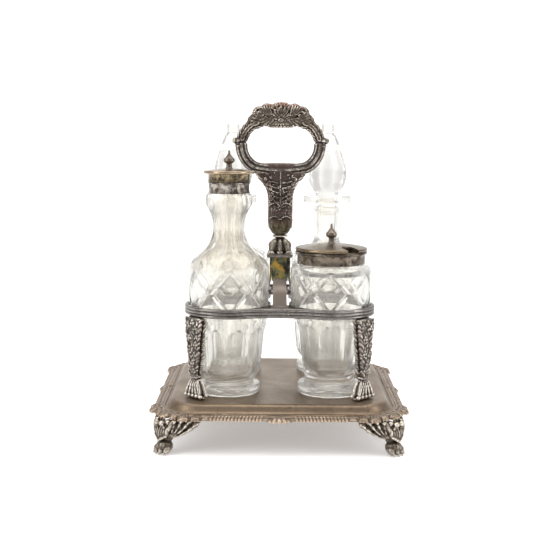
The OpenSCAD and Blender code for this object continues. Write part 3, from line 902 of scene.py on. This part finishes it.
def support_lumps():
    made = []
    for i in range(28):
        z = 46.0 + i * (SUPPORT_TOP - 47.2) / 27
        for x in (-1.5, 1.7):
            made.append(bead((x, 0, z), (2.8, blade_width(z) + 0.8, 3.6)))
    for side in (-1, 1):
        for i in range(12):
            z = 49.0 + 3.1 * i + 1.4 * chance.random()
            half, size = blade_width(z) / 2, 0.75 + 0.6 * chance.random()
            for x, depth in ((1, 2.8), (-1, 2.4)):
                made.append(lump((x * 1.7, side * (half - 1.8), z - 2.6 * size),
                                 (x * 2.3, side * (half + 0.9), z + 1.6 * size),
                                 1.8 * size, depth * size, (x, 0, 0.2)))
    for _ in range(64):
        z = 48.5 + (SUPPORT_TOP - 51) * chance.random()
        y = (blade_width(z) / 2 - 0.8) * (2 * chance.random() - 1)
        way = Vector((0, chance.normal() * 0.8, 1)).normalized() * (1.1 + 1.3 * chance.random())
        at = Vector((2.9 + 0.3 * chance.random(), y, z))
        made.append(lump(at - way, at + way, 1.0 + 0.5 * chance.random(), 1.5, (1, 0, 0)))
        at.x = -2.5
        made.append(lump(at - way, at + way, 1.2, 1.2, (-1, 0, 0)))
    for y, z in BERRIES:
        for dy, dz in ((0, 1.0), (-1.0, -0.7), (1.0, -0.7)):
            made.append(bead((3.2, y + dy, z + dz), 2.1))
    made.append(bead((0, 0, SUPPORT_TOP - 0.9), (4.8, 16.6, 1.6)))
    made.append(bead((0, 0, 46.2), (5.6, 9.0, 2.6)))
    made.append(bead((0, 0, 43.8), (5.0, 7.6, 2.6)))
    for side in (-1, 1):
        for k in range(5):
            spread = (k - 2) / 2
            made.append(lump((side * 1.2, spread * 2.8, 44.4), (side * 2.8, spread * 7.0, 33.4),
                             2.3, 2.8, (side, 0, 0.3)))
            made.append(bead((side * 2.6, spread * 6.9, 33.6), (3.0, 3.4, 3.0)))
            made.append(bead((side * 1.6, spread * 3.8, 40.2), (3.6, 2.4, 3.6)))
    made.append(bead((0, 0, 37.0), (5.4, 11.0, 12.0)))
    made.append(bead((0, 0, 32.6), (6.8, 16.4, 2.2)))
    return made


support_pattern = crowd("support_pattern", support_lumps())
held(support_pattern, z=(PLATFORM_Z + GAP, SUPPORT_TOP - GAP), x=(-2.9, 4.0))
melt(support_pattern, FINE)
for corner, (x, y) in CORNERS.items():
    place = (Matrix.Rotation(math.atan2(y, x), 4, "Z")
             @ Matrix.Translation((SUPPORT_AT * MM, 0, 0)))
    support = placed_copy(support_pattern, "leafy_support_" + corner, place)
    dress(support, leafy_cast, "stand", "cast_silver", "support_" + corner)
bpy.data.objects.remove(support_pattern)

# %% [markdown]
# ## The reeded band
# The band is a strip with three reeds that runs round the four hoops and dips in between them.
# Its path is made of arcs that meet without a kink. Each reed is a bar along that path, and a thin
# strip inside ties them together.

# %% Band path
BAND_IN = HOOP_OUT
BAND_MID = BAND_IN + 0.75
PINCH = 6.0
pinch_line = HOOP_AT + HOOP_OUT + 0.3 - PINCH
outer_arc = HOOP_OUT + 0.3
pinch_sum = (2 * HOOP_AT ** 2 - 2 * HOOP_AT * pinch_line + pinch_line ** 2 - outer_arc ** 2) / (
    2 * (outer_arc - pinch_line + HOOP_AT))
pinch_centre = pinch_line + pinch_sum


def band_path(reach, z):
    """Points round the four hoops at reach from each hoop's axis."""
    tilt = 90 - math.degrees(math.atan2(pinch_centre - HOOP_AT, HOOP_AT))
    round_hoop = arc((HOOP_AT, HOOP_AT), reach, -tilt, 90 + tilt, 30)
    dip = arc((0, pinch_centre), outer_arc + pinch_sum - reach, 270 + tilt, 270 - tilt, 12)[1:-1]
    turns = [Matrix.Rotation(math.radians(90 * i), 2) for i in range(4)]
    return [(*(turn @ Vector(p)), z) for turn in turns for p in round_hoop + dip]


# %% Reeds and strip
REED_R = 1.12
reed_step = (BAND_HIGH.z - BAND_LOW.z - 2 * REED_R) / 2
reeds = [bar("reed", band_path(BAND_MID - 0.35, BAND_LOW.z + REED_R + i * reed_step), REED_R)
         for i in range(3)]
strip = bar("strip", band_path(BAND_IN + 0.1, BAND_LOW.z + 0.2), 0)
edit(strip, lambda: bpy.ops.mesh.extrude_region_move(
    TRANSFORM_OT_translate={"value": (0, 0, (BAND_HIGH.z - BAND_LOW.z - 0.4) * MM)}))
face_out(strip)
modify(strip, "SOLIDIFY", thickness=0.6 * MM, offset=0.6)
band = smooth(join("reeded_band", strip, *reeds), 50)
dress(band, band_plate, "stand", "band_silver", "ring_band")

# %% [markdown]
# ## Softened copies
# The flange and the tube already have the right shape, but their edges are too sharp to catch
# light, so a merged copy of each gets a small bevel. The hoops, the nuts and the stud stay as the
# frame has them and only take a finish.

# %% Bevelled copies of the frame's pieces


def softened(node, width, material, slot, name):
    pick(nodes[node])
    bpy.ops.object.duplicate()
    copy = bpy.context.object
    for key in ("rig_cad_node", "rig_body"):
        if key in copy:
            del copy[key]
    copy.parent = None
    copy.name = name
    edit(copy, lambda: bpy.ops.mesh.remove_doubles(threshold=0.000002),
         lambda: bpy.ops.mesh.dissolve_limited(angle_limit=math.radians(0.5)))
    modify(copy, "BEVEL", width=width * MM, segments=3, limit_method="ANGLE",
           angle_limit=math.radians(30), harden_normals=False)
    smooth(copy, 40)
    return dress(copy, material, "stand", slot, node)


softened("handle_flange", 0.5, dark_plate, "handle_dark", "flange_plate")
softened("handle_spider", 0.25, tube_plate, "tube_brass", "strap_spider")
kept = {"hoop_" + corner: band_plate for corner in CORNERS}
kept.update(dict.fromkeys(("support_nuts", "handle_nut", "handle_stud"), nut_brass))
for node, material in kept.items():
    nodes[node].data.materials.clear()
    nodes[node].data.materials.append(material)

# %% [markdown]
# ## The handle
# The stem rises from a small stepped base. Leaves wrap it, with a rib up the middle of each face,
# and it spreads into shoulders that carry the ring. Front and back have the same pattern.

# %% Stem base
BASE_LOW, BASE_HIGH = node_box("handle_base")


def base_lumps():
    made = []
    foot, neck = BASE_LOW.z, BASE_LOW.z + 10.9
    for i in range(8):
        turn = Matrix.Rotation(math.radians(45 * i), 4, "Z")
        square = 1.18 if i % 2 else 1.0
        made += turned([lump((6.9 * square, 0, foot + 0.9), (3.5, 0, neck - 0.4), 3.7, 4.4,
                             (1, 0, 0.5)),
                        bead((7.0 * square, 0, foot + 1.2), (2.8, 4.4, 2.8)),
                        lump((6.2, 0, foot + 3.0), (4.4, 0, neck - 2.0), 1.0, 5.6, (1, 0, 0.5))],
                       turn)
    made += [bead((0, 0, foot + 3.4), (12.6, 12.6, 8.0)), bead((0, 0, foot + 8.0), (8.8, 8.8, 7.0)),
             bead((0, 0, foot + 12.2), (11.4, 11.4, 2.7))]
    return made


base = crowd("stem_base", base_lumps())
held(base, z=(BASE_LOW.z + GAP, BASE_HIGH.z - GAP))
melt(base, FINE)
dress(base, bright_cast, "stand", "handle_dark", "handle_base")

# %% Stem
STEM_LOW, STEM_HIGH = node_box("handle_stem")


def stem_half(z):
    """Half width of the stem at height z, seen from the front."""
    return float(np.interp(z, (134.8, 136, 138, 140, 143, 158, 163, 167, 170, 173, 176.5, 181),
                           (4.2, 6.0, 7.6, 8.4, 8.7, 8.7, 9.0, 10.3, 12.3, 15.0, 17.9, 16.6)))


def stem_lumps():
    made = []
    for i in range(36):
        z = STEM_LOW.z + 1.2 + i * (STEM_HIGH.z - STEM_LOW.z - 3.0) / 35
        made.append(bead((0, 0, z), (2 * stem_half(z) - 0.4, 7.4, 4.0)))
    for face in (-1, 1):
        out = Vector((0, face, 0))
        made += [lump((0, face * 3.6, low), (0, face * 3.6, low + 7.0), 1.5, 2.6, out)
                 for low in (154.0, 160.0, 166.0, 172.0)]
        for low, high, depth in ((137.0, 147.4, 3.4), (145.5, 156.6, 2.6)):
            for side in (-1, 1):
                made.append(lump((side * 1.6, face * 2.4, low),
                                 (side * 4.2, face * 3.0, high - 0.8), 7.2, depth, out))
                rim = [Vector((side * (0.3 + 3.7 * (1 - math.cos(t))), face * 4.2, high - 3.4
                               + 3.4 * math.sin(t)))
                       for t in np.linspace(0.2, 2.8, 8)]
                made += chain(rim, 1.2, 1.9, out)
                made.append(lump((side * 3.2, face * 3.6, low + 1.5),
                                 (side * 4.0, face * 3.9, high - 2.5), 0.8, 1.2, out))
        for side in (-1, 1):
            for i in range(6):
                z = 155.5 + 3.4 * i
                width = stem_half(z + 3.0)
                bend = [Vector((side * width * t, face * (4.0 - 0.6 * t), z - 2.4
                                + 5.4 * t ** 1.7)) for t in (0.06, 0.3, 0.52)]
                made += chain(bend, 1.0, 1.9, out)
                made.append(bead((side * width * 0.6, face * 3.7, z + 0.4), (2.6, 1.8, 2.8)))
                made.append(lump((side * width * 0.72, face * 3.7, z),
                                 (side * (width - 0.8), face * 3.4, z + 2.9), 1.3, 1.8, out))
            edge = [Vector((side * (stem_half(z) - 0.5), face * 3.1, z))
                    for z in np.linspace(139, 177, 17)]
            made += chain(edge, 1.0, 1.4, out)
        for _ in range(70):
            z = 150 + 28 * chance.random()
            x = (stem_half(z) - 1.5) * (2 * chance.random() - 1)
            made.append(speck(Vector((x, face * 4.0, z)), random_way(0.6, 0.9), 0.9, 1.4, out))
    return made


stem = crowd("leafy_stem", stem_lumps())
held(stem, z=(STEM_LOW.z + GAP, STEM_HIGH.z))
melt(stem, FINE)
dress(stem, dark_cast, "stand", "handle_dark", "handle_stem")

# %% [markdown]
# The ring is reeded below and leaf-clad above, with a small knob at each side where the two
# meet. A shell crest with side scrolls crowns it.

# %% Ring path
RING_Z = 196.0
RING_HALF = 10.0
RING_LINE = 17.0


def ring_point(turn, offset=0.0, depth=0.0):
    """A point round the ring: turn is 0 at the right, 90 at the top; offset is outwards."""
    way = (math.cos(math.radians(turn)), math.sin(math.radians(turn)))
    middle = RING_HALF * max(-1.0, min(1.0, way[0] * 2.2))
    reach = RING_LINE + offset
    return Vector((middle + reach * way[0], depth, RING_Z + reach * way[1]))


def leaf_row(made, turn, fall, face):
    """Leaves that lie along the ring and lift off it, three abreast."""
    for offset, depth, width in ((2.9, 1.4, 2.6), (0.0, 3.5, 3.0), (-2.7, 1.8, 2.4)):
        start = ring_point(turn - fall * 7, offset * 0.7, face * depth)
        end = ring_point(turn + fall * 8, offset * 1.25, face * (depth + 0.2))
        made.append(lump(start, end, width, 2.2, (0, face, 0)))
        made.append(lump(start, end, 0.8, 3.0, (0, face, 0)))


def ring_lumps():
    made = []
    for turn in range(0, 360, 5):
        a, b = ring_point(turn - 3.6), ring_point(turn + 3.6)
        made.append(lump(a, b, 6.6 + 0.9 * max(0.0, math.sin(math.radians(turn))), 6.6, (0, 1, 0)))
    for turn in (16, 27, 38, 49, 60, 120, 131, 142, 153, 164):
        for face in (-1, 1):
            leaf_row(made, turn, 1 if turn < 90 else -1, face)
    for side in (-1, 1):
        made += [bead((side * 31.2, 0, RING_Z + 3.2), (4.4, 4.6, 4.6)),
                 bead((side * 28.6, 0, RING_Z + 3.2), (6.0, 8.0, 3.2)),
                 bead((side * 28.0, 0, RING_Z - 0.4), (7.6, 8.0, 2.0))]
    return made


# %% Crest
CREST_HUB = Vector((0, 0, TOP_Z - 12.5))
SCROLL_AT = (14.2, TOP_Z - 7.6)


def volute(side, face):
    """A spiral that winds into the scroll beside the shell."""
    points = []
    for i in range(22):
        turn = math.radians(-60 + 27 * i)
        reach = 4.6 - 0.19 * i
        points.append(Vector((side * (SCROLL_AT[0] + reach * math.cos(turn)),
                              face * (2.2 + 0.06 * i), SCROLL_AT[1] + reach * math.sin(turn))))
    return chain(points, 1.5, 2.0, (0, face, 0))


def crest_lumps():
    made = [bead((0, 0, TOP_Z - 8), (23, 6.4, 15)), bead((0, 0, 212.0), (26, 6.4, 8.5))]
    for side in (-1, 1):
        made += [bead((side * SCROLL_AT[0], 0, SCROLL_AT[1]), (11.0, 6.0, 9.8)),
                 bead((side * 9.6, 0, TOP_Z - 6.4), (9.6, 6.4, 11.4)),
                 bead((side * 7.0, 0, TOP_Z - 4.4), (6.0, 6.0, 6.6)),
                 bead((side * 17.4, 0, 214.4), (9.0, 6.2, 7.0)),
                 bead((side * 20.0, 0, 213.4), (6.0, 6.0, 5.0))]
        for face in (-1, 1):
            out = (0, face, 0)
            made += volute(side, face)
            for k in range(5):
                tip = Vector((side * (8.2 + 1.9 * k), face * 2.8, TOP_Z - 1.5 - 0.55 * k))
                made.append(lump((side * (6.4 + 0.8 * k), face * 3.2, TOP_Z - 9.4), tip, 1.5, 2.0,
                                 out))
            for k in range(4):
                tip = Vector((side * (9.0 + 3.4 * k), face * 3.0, 209.0 + 0.55 * k * (k - 0.6)))
                made.append(lump((side * (5.0 + 1.5 * k), face * 3.4, 214.2), tip, 2.3, 2.2, out,
                                 leaf_lump))
                tip = Vector((side * (18.2 + 0.9 * k), face * 2.6, 219.6 - 2.4 * k))
                made.append(lump((side * 12.4, face * 3.0, 214.6 - 0.6 * k), tip, 2.0, 2.2, out))
    for face in (-1, 1):
        out = (0, face, 0)
        for i in range(9):
            lean = math.radians(-74 + 18.5 * i)
            way = Vector((math.sin(lean) * 0.92, 0, math.cos(lean)))
            reach = 12.4 - 1.4 * abs(math.sin(lean))
            root = CREST_HUB + way * 2.0 + Vector((0, face * 3.0, 0))
            tip = CREST_HUB + way * reach + Vector((0, face * 1.7, 0))
            made += [lump(root, tip, 2.1, 2.8, out),
                     bead(CREST_HUB + way * (reach - 1.0) + Vector((0, face * 1.2, 0)), 4.0)]
            root = CREST_HUB + Vector((math.sin(lean) * 2.4, face * 3.3, -0.6))
            drop = Vector((math.sin(lean) * 8.4, face * 2.9, 209.6 - 0.9 * math.cos(lean)))
            made += [lump(root, drop, 1.7, 2.0, out), bead(drop, 2.2)]
        made.append(bead(CREST_HUB + Vector((0, face * 3.2, 0)), (4.4, 2.4, 3.4)))
        for _ in range(60):
            x = 40 * (chance.random() - 0.5)
            z = 210.0 + (12.5 - 0.2 * abs(x)) * chance.random()
            made.append(speck(Vector((x, face * 3.3, z)), random_way(0.6, 0.8), 0.9, 1.5, out))
    return [(shape, place) for shape, place in made
            if (Vector(place.translation) - Vector((0, 0, RING_Z))).length > 12.6]


# %% Ring with its reeds
REEDS_OUT = 2.95
ring = crowd("ring_crest", ring_lumps() + crest_lumps())
reed_turns = [-185 + 7.6 * i for i in range(26)]
reed_bars = []
for angle in range(0, 360, 45):
    out, deep = math.cos(math.radians(angle)), math.sin(math.radians(angle))
    path = [tuple(ring_point(turn, REEDS_OUT * out, REEDS_OUT * deep)) for turn in reed_turns]
    reed_bars.append(bar("ring_reed", path, 1.15, closed=False))
ring = join("ornate_ring", ring, *reed_bars)
held(ring, y=(-4.3, 4.3), z=(0, TOP_Z - 0.05))
melt(ring, FINE)
dress(ring, ring_cast, "stand", "handle_dark", "handle_ring")

# %% [markdown]
# ## Cut bottles
# A bottle is blown, then its pattern is cut on a wheel. The outline of its wall is spun round its
# axis, and the cuts are moved into the outside: arched flats below the band, a row of large
# lozenges above it, and flats up the neck.

# %% Spinning an outline


def spun(name, outline, at, steps):
    """Turns a closed outline of (radius, height) round the upright axis through at."""
    mesh = bpy.data.meshes.new(name)
    points = [((at[0] + r) * MM, at[1] * MM, z * MM) for r, z in outline]
    mesh.from_pydata(points, [(i, i + 1) for i in range(len(points) - 1)], [])
    piece = add(name, mesh)
    edit(piece,
         lambda: bpy.ops.mesh.spin(steps=steps, angle=math.tau, center=(at[0] * MM, at[1] * MM, 0),
                                   axis=(0, 0, 1)),
         lambda: bpy.ops.mesh.select_all(action="SELECT"),
         lambda: bpy.ops.mesh.remove_doubles(threshold=0.000004),
         lambda: bpy.ops.mesh.normals_make_consistent(inside=False))
    return smooth(piece, 32)


BODY_R = 26.6
FOOT_R = 20.9
JAR_FOOT_R = 21.7
WALL = 3.4
P = PLATFORM_Z
tall_lower = ([(0, P + 1.2), (FOOT_R - 7, P + 0.9), (FOOT_R - 4, P + GAP), (FOOT_R - 1.2, P + GAP)]
              + arc((FOOT_R - 1.6, P + 1.8), 1.6, -60, 20, 4)
              + arc((FOOT_R - 1.7, P + 4.6), 1.7, 0, 70, 4)
              + curve((17.6, P + 6.9), (16.4, P + 7.6), (16.3, P + 8.0), (16.9, P + 8.8), 4)
              + curve((17.4, P + 9.6), (20.4, P + 13.4), (22.0, P + 15.2), (22.5, P + 18.0), 6)
              + [(23.0, P + 22.5), (25.3, P + 47.5), (BODY_R, P + 60), (BODY_R, P + 81)])
tall_inner = ([(BODY_R - WALL, 112), (BODY_R - WALL, P + 60), (25.3 - WALL, P + 47.5),
               (22.6 - WALL, P + 22)]
              + curve((22.4 - WALL, P + 19), (18, P + 13), (13, P + 10.5), (0, P + 10), 8))

# %% [markdown]
# A cut is a depth, in millimetres, at an angle and a height. Flats are chords of the circle. The
# lozenges are V-grooves along slanting lines. Depths are stored as `ground`, which the glass reads:
# it roughens the cuts and darkens their tint as painted shade, to draw the grey lines of the
# grooves.

# %% The cuts
CUT_STEPS = 360
PLAIN_STEPS = 240
LOZENGE_W, LOZENGE_H = 11.6, 13.0
LOZENGE_LOW = 84
GROOVE = 1.5
SKIN = 0.35
DEEPEST = 1.1


def graded(outline):
    """The outline with close points where the lozenges are cut, and sparser points elsewhere."""
    coarse = spaced(outline, 1.6)
    made = []
    for a, b in zip(coarse, coarse[1:]):
        made += spaced([a, b], 0.45 if LOZENGE_LOW < a[1] < 117 and a[0] > 20 else 1.6)[:-1]
    return made + [coarse[-1]]


def flat_depth(angle, radius, count, depth):
    """How far a flat lies inside the circle, for count flats round it."""
    step = math.tau / count
    local = (angle + step / 2) % step - step / 2
    edge = np.cos(step / 2)
    full = radius * (1 - edge / np.cos(local))
    return full * depth


def fade(z, low, high, soft):
    return np.clip((z - low) / soft, 0, 1) * np.clip((high - z) / soft, 0, 1)


def low_flats(angle, z, radius, count, depth, start, top, sag):
    """Flats that begin at start over the foot and end in arches at top."""
    arch = top - sag * (np.abs((angle * count / math.tau + 0.5) % 1 - 0.5) * 2) ** 2
    return (flat_depth(angle, radius, count, depth) * np.clip((z - P - start) / 3, 0, 1)
            * np.clip((arch - z) / 1.2, 0, 1))


def lozenges(angle, z, middle, turn, top):
    """Grooves round six lozenges, one of which faces turn, in degrees."""
    step = math.tau / 6
    local = (angle - math.radians(turn) + step / 2) % step - step / 2
    size = np.abs(local) * BODY_R / LOZENGE_W + np.abs(z - middle) / LOZENGE_H
    slope = LOZENGE_W * LOZENGE_H / math.hypot(LOZENGE_W, LOZENGE_H)
    return np.clip(1 - np.abs(size - 1) * slope / GROOVE, 0, 1) * fade(z, LOZENGE_LOW, top, 1)


def cut(piece, at, outside, pattern):
    """Moves the points that lie on the outside outline inwards by the pattern's depth."""
    mesh = piece.data
    points = np.empty(len(mesh.vertices) * 3)
    mesh.vertices.foreach_get("co", points)
    points = points.reshape(-1, 3)
    x, y, z = points[:, 0] / MM - at[0], points[:, 1] / MM - at[1], points[:, 2] / MM
    radius, angle = np.hypot(x, y), np.arctan2(y, x)
    climb = [p for p in outside if p[0] > 10]
    for i in range(1, len(climb)):
        if climb[i][1] <= climb[i - 1][1]:
            climb[i] = (climb[i][0], climb[i - 1][1] + 0.001)
    wall = np.interp(z, [p[1] for p in climb], [p[0] for p in climb])
    depth = np.where(np.abs(radius - wall) < SKIN, pattern(angle, z, radius), 0.0)
    layer = mesh.attributes.new("ground", "FLOAT", "POINT")
    layer.data.foreach_set("value", np.clip(depth / DEEPEST, 0, 1).astype(np.float32))
    scale = (radius - depth) / np.maximum(radius, 0.01)
    points[:, 0] = (at[0] + x * scale) * MM
    points[:, 1] = (at[1] + y * scale) * MM
    mesh.vertices.foreach_set("co", points.ravel())
    mesh.update()
    return piece


# %% Caster
CASTER_AT = (-HOOP_AT, -HOOP_AT)
caster_top = (curve((BODY_R, 116), (BODY_R, 119.5), (20, 124.2), (15.8, 129.2), 14)
              + curve((15.4, 129.8), (13, 133.2), (11.1, 138), (11.1, 142), 10)
              + curve((11.1, 143), (11.2, 148.5), (13.2, 152.5), (15, 156.5), 10)
              + [(15.4, 158.5), (15.4, 162.6), (15.0, 163.8), (13.8, 164.8)])
caster_outside = graded(tall_lower + caster_top)
caster_inside = ([(11.8, 164.9), (11.8, 171.3), (9.7, 171.3), (9.6, 156), (7.8, 148), (7.8, 137)]
                 + curve((8.2, 133), (11, 127.5), (22, 123.5), (BODY_R - WALL, 115), 10)
                 + tall_inner)
caster = spun("caster_bottle", caster_outside + caster_inside, CASTER_AT, CUT_STEPS)


def caster_cuts(angle, z, radius):
    neck = flat_depth(angle, radius, 8, 1.0) * fade(z, 121, 157, 6)
    return (low_flats(angle, z, radius, 10, 0.95, 12, 77.0, 5.0)
            + lozenges(angle, z, 100.5, -86, 115.5) + neck)


cut(caster, CASTER_AT, caster_outside, caster_cuts)
smooth(caster, 17)
dress(caster, caster_glass, "caster", "cut_glass", "caster_glass")

# %% Mustard jar
JAR_AT = (HOOP_AT, -HOOP_AT)
jar_lower = ([(0, P + 1.4), (JAR_FOOT_R - 7, P + 1.0), (JAR_FOOT_R - 4, P + GAP),
              (JAR_FOOT_R - 1.2, P + GAP)]
             + arc((JAR_FOOT_R - 1.6, P + 1.8), 1.6, -60, 20, 4)
             + arc((JAR_FOOT_R - 2.0, P + 5.0), 2.0, 0, 60, 4)
             + curve((18.0, P + 8.0), (16.6, P + 9.2), (16.3, P + 10.4), (17.0, P + 12.2), 5)
             + curve((17.4, P + 13.0), (18.8, P + 16.0), (19.4, P + 19.0), (20.0, P + 22.0), 5)
             + [(21.3, P + 28.5), (23, P + 47), (BODY_R, P + 60)]
             + curve((BODY_R, 112), (BODY_R, 116), (25.5, 118.2), (22.4, 118.88), 10)
             + [(21.2, 118.9)])
jar_outside = graded(jar_lower)
jar_inside = ([(21.15, 124.9), (19.6, 124.9), (19.6, 117), (BODY_R - WALL, 112),
               (BODY_R - WALL, P + 60), (23 - WALL, P + 47), (21.3 - WALL, P + 28.5)]
              + curve((19.4 - WALL, P + 21), (14.6, P + 15), (9, P + 12.4), (0, P + 12), 8))
jar = spun("mustard_bottle", jar_outside + jar_inside, JAR_AT, CUT_STEPS)


def jar_cuts(angle, z, radius):
    return (low_flats(angle, z, radius, 8, 0.9, 15, 80.0, 4.0)
            + lozenges(angle, z, 101.5, -93, 115.5))


cut(jar, JAR_AT, jar_outside, jar_cuts)
smooth(jar, 17)
dress(jar, bottle_glass, "mustard_jar", "cut_glass", "mustard_glass")

# %% Oil and vinegar bottles
BACK_PAIR = (("oil", (-HOOP_AT, HOOP_AT)), ("vinegar", (HOOP_AT, HOOP_AT)))
LIP_R = 17.0
BORE_R = 6.3
tall_top = (curve((BODY_R, 113), (BODY_R, 121), (14, 120), (10.4, 127), 12)
            + curve((10.1, 128), (9, 131), (8.8, 134), (8.8, 138), 6)
            + curve((8.8, 145), (9, 150), (10.5, 153.5), (LIP_R - 1.5, 154.6), 10)
            + arc((LIP_R - 1, 155.8), 1, -60, 0, 4) + arc((LIP_R - 1, 158.95), 1, 0, 90, 5))
tall_outside = graded(tall_lower + tall_top)
tall_inside = ([(BORE_R + 1, 160), (BORE_R, 159), (5.6, 134)]
               + curve((6.4, 129), (8.5, 124), (21.5, 122), (BODY_R - WALL, 113), 8) + tall_inner)


def tall_cuts(angle, z, radius):
    neck = flat_depth(angle, radius, 8, 0.9) * fade(z, 117, 150, 4)
    return (low_flats(angle, z, radius, 10, 0.95, 12, 77.0, 5.0)
            + lozenges(angle, z, 100.0, -90, 114) + neck)


for label, at in BACK_PAIR:
    bottle = spun(label + "_cut_bottle", tall_outside + tall_inside, at, PLAIN_STEPS)
    cut(bottle, at, tall_outside, tall_cuts)
    smooth(bottle, 24)
    dress(bottle, bottle_glass, label + "_bottle", "cut_glass", label + "_glass")

# %% [markdown]
# ## Stoppers
# Each stopper is a solid teardrop with a small knob. Its sides are cut into broad flats, and its
# plug is ground to a taper that sits in the neck.

# %% Stoppers
STOPPER_R = 14.5
STOPPER_STEPS = 96
SEAT = 160.02
stopper_outline = spaced(
    [(0, 146), (4.4, 146), (5, 147), (5.8, 159.6), (5.9, SEAT), (8.2, SEAT), (8.4, 161.5)]
    + curve((9, 162.5), (12.5, 166), (STOPPER_R, 170), (STOPPER_R, 175), 12)
    + curve((STOPPER_R, 176.5), (STOPPER_R, 183.5), (9, 195.5), (5.9, 203), 16)
    + [(4.7, 204.2), (4.5, 205.2)] + arc((1.5, 210.25), 3, 0, 90, 8) + [(0, 213.25)], 1.0)


def stopper_cuts(angle, z, radius):
    return flat_depth(angle, radius, 8, 0.8) * fade(z, 163, 205, 3)


for label, at in BACK_PAIR:
    stopper = spun(label + "_teardrop", stopper_outline, at, STOPPER_STEPS)
    cut(stopper, at, stopper_outline, stopper_cuts)
    smooth(stopper, 24)
    dress(stopper, stopper_glass, label + "_plug", "cut_glass", label + "_stopper")

# %% [markdown]
# ## Collars, cap, lid and finials
# These are turned on a lathe, so each is one spun outline. Small beads and steps at the rims catch
# the light as the real ones do.

# %% Caster's collar and cap
SMALL_STEPS, WIDE_STEPS = 128, 160
mount = ([(11.85, 165.0), (13.5, 165.0), (13.75, 165.3), (13.6, 165.9), (13.3, 166.3),
          (13.3, 170.9)]
         + arc((13.3, 171.6), 0.55, -80, 80, 6)
         + [(9.65, 172.18), (9.65, 171.45), (11.85, 171.45), (11.85, 165.0)])
collar = spun("caster_neck_mount", mount, CASTER_AT, SMALL_STEPS)
dress(collar, collar_plate, "caster", "collar_silver", "caster_collar")
plug = [(0, 170.7), (8.3, 170.7), (8.3, 168.2), (9.3, 168.2), (9.3, 172.24)]
skirt = [(13.5, 172.24), (13.85, 172.6), (13.85, 173.2), (13.6, 173.5), (13.6, 176.6),
         (13.8, 177.4)]
brim = [(15.6, 177.68)] + arc((15.9, 178.7), 1.0, -90, 70, 8) + [(14.8, 179.75), (13.4, 179.95)]
crown = [(12, 180.3), (5.0, 180.82), (4.2, 180.88), (0, 180.9)]
cap = spun("caster_lid", plug + skirt + brim + crown, CASTER_AT, SMALL_STEPS)
dress(cap, lid_plate, "caster_top", "lid_gilt", "caster_cap")
cap.data.materials.append(skirt_plate)
for face in cap.data.polygons:
    face.material_index = int(172 < face.center.z / MM < 177.5)

# %% Mustard jar's collar and lid
jar_mount = ([(21.22, 119.0), (22.3, 119.0), (22.6, 119.3), (22.5, 119.9), (22.4, 124.8),
              (22.5, 125.2)]
             + arc((22.8, 126.3), 1.08, -80, 80, 8)
             + [(19.65, 127.38), (19.65, 125.05), (21.22, 125.05), (21.22, 119.0)])
jar_collar = spun("mustard_neck_mount", jar_mount, JAR_AT, WIDE_STEPS)
dress(jar_collar, jar_collar_plate, "mustard_jar", "collar_silver", "mustard_collar")
LID_LOW, LID_R, LID_EDGE, LID_RISE, LID_T = 127.42, 23.9, 1.1, 4.6, 1.0
bend_r, dome_h = LID_R - LID_EDGE, LID_RISE - 2 * LID_EDGE
dome_r = (bend_r ** 2 + dome_h ** 2) / (2 * dome_h)
dome_edge = math.degrees(math.asin(bend_r / dome_r))
inner_edge = math.degrees(math.asin(18.3 / (dome_r - LID_T)))
dome_c = (0, LID_LOW + LID_RISE - dome_r)
dome = (arc(dome_c, dome_r, 90, 90 - dome_edge, 22)
        + arc((bend_r, LID_LOW + LID_EDGE), LID_EDGE, 75, -90, 8)
        + [(19.3, LID_LOW), (19.3, LID_LOW - 4.4), (18.3, LID_LOW - 4.4)]
        + arc(dome_c, dome_r - LID_T, 90 - inner_edge, 90, 18))
lid = spun("mustard_dome", dome, JAR_AT, WIDE_STEPS)

# %% Spoon slot
SLOT_ANGLE = math.radians(-55)
SLOT_W, SLOT_L = 8.8, 10.0
inner = LID_R - SLOT_L + SLOT_W / 2
bpy.ops.mesh.primitive_cylinder_add(vertices=48, radius=SLOT_W / 2 * MM, depth=0.03,
                                    location=(inner * MM, 0, 0))
cutter = bpy.context.object
bpy.ops.mesh.primitive_cube_add(size=1, location=((inner + 10) * MM, 0, 0))
block = bpy.context.object
block.scale = (20 * MM, SLOT_W * MM * 0.999, 0.03)
settle(block)
settle(cutter)
modify(cutter, "BOOLEAN", operation="UNION", object=block, solver="EXACT")
bpy.data.objects.remove(block)
cutter.data.transform(Matrix.Translation((JAR_AT[0] * MM, JAR_AT[1] * MM, LID_LOW * MM))
                      @ Matrix.Rotation(SLOT_ANGLE, 4, "Z"))
modify(lid, "BOOLEAN", operation="DIFFERENCE", object=cutter, solver="EXACT")
bpy.data.objects.remove(cutter)
smooth(lid, 32)
dress(lid, jar_lid_plate, "mustard_top", "lid_gilt", "mustard_lid")

# %% Finials


def finial_outline(z, knob, h):
    return ([(0, z), (2.6, z), (2.4, z + 0.5), (1.9, z + 1.1), (1.8, z + 0.26 * h)]
            + curve((knob - 1.6, z + 0.3 * h), (knob + 0.3, z + 0.38 * h),
                    (knob + 0.4, z + 0.52 * h), (knob - 1.6, z + 0.62 * h), 9)
            + curve((1.9, z + 0.68 * h), (0.8, z + 0.74 * h), (0.75, z + 0.84 * h),
                    (0.7, z + 0.94 * h), 5)
            + [(0.45, z + 0.99 * h), (0, z + h)])


for label, at, z, h in (("caster", CASTER_AT, 180.9, 12.2), ("mustard", JAR_AT, 132.02, 13.2)):
    finial = spun(label + "_knob", finial_outline(z, 3.9, h), at, 48)
    dress(finial, knob_plate, label + "_top", "lid_gilt", label + "_finial")

# %% [markdown]
# ## Tidying up
# The two patterns for lumps have done their work and go.

# %% Remove the lump patterns
for pattern in (round_lump, leaf_lump):
    bpy.data.objects.remove(pattern)
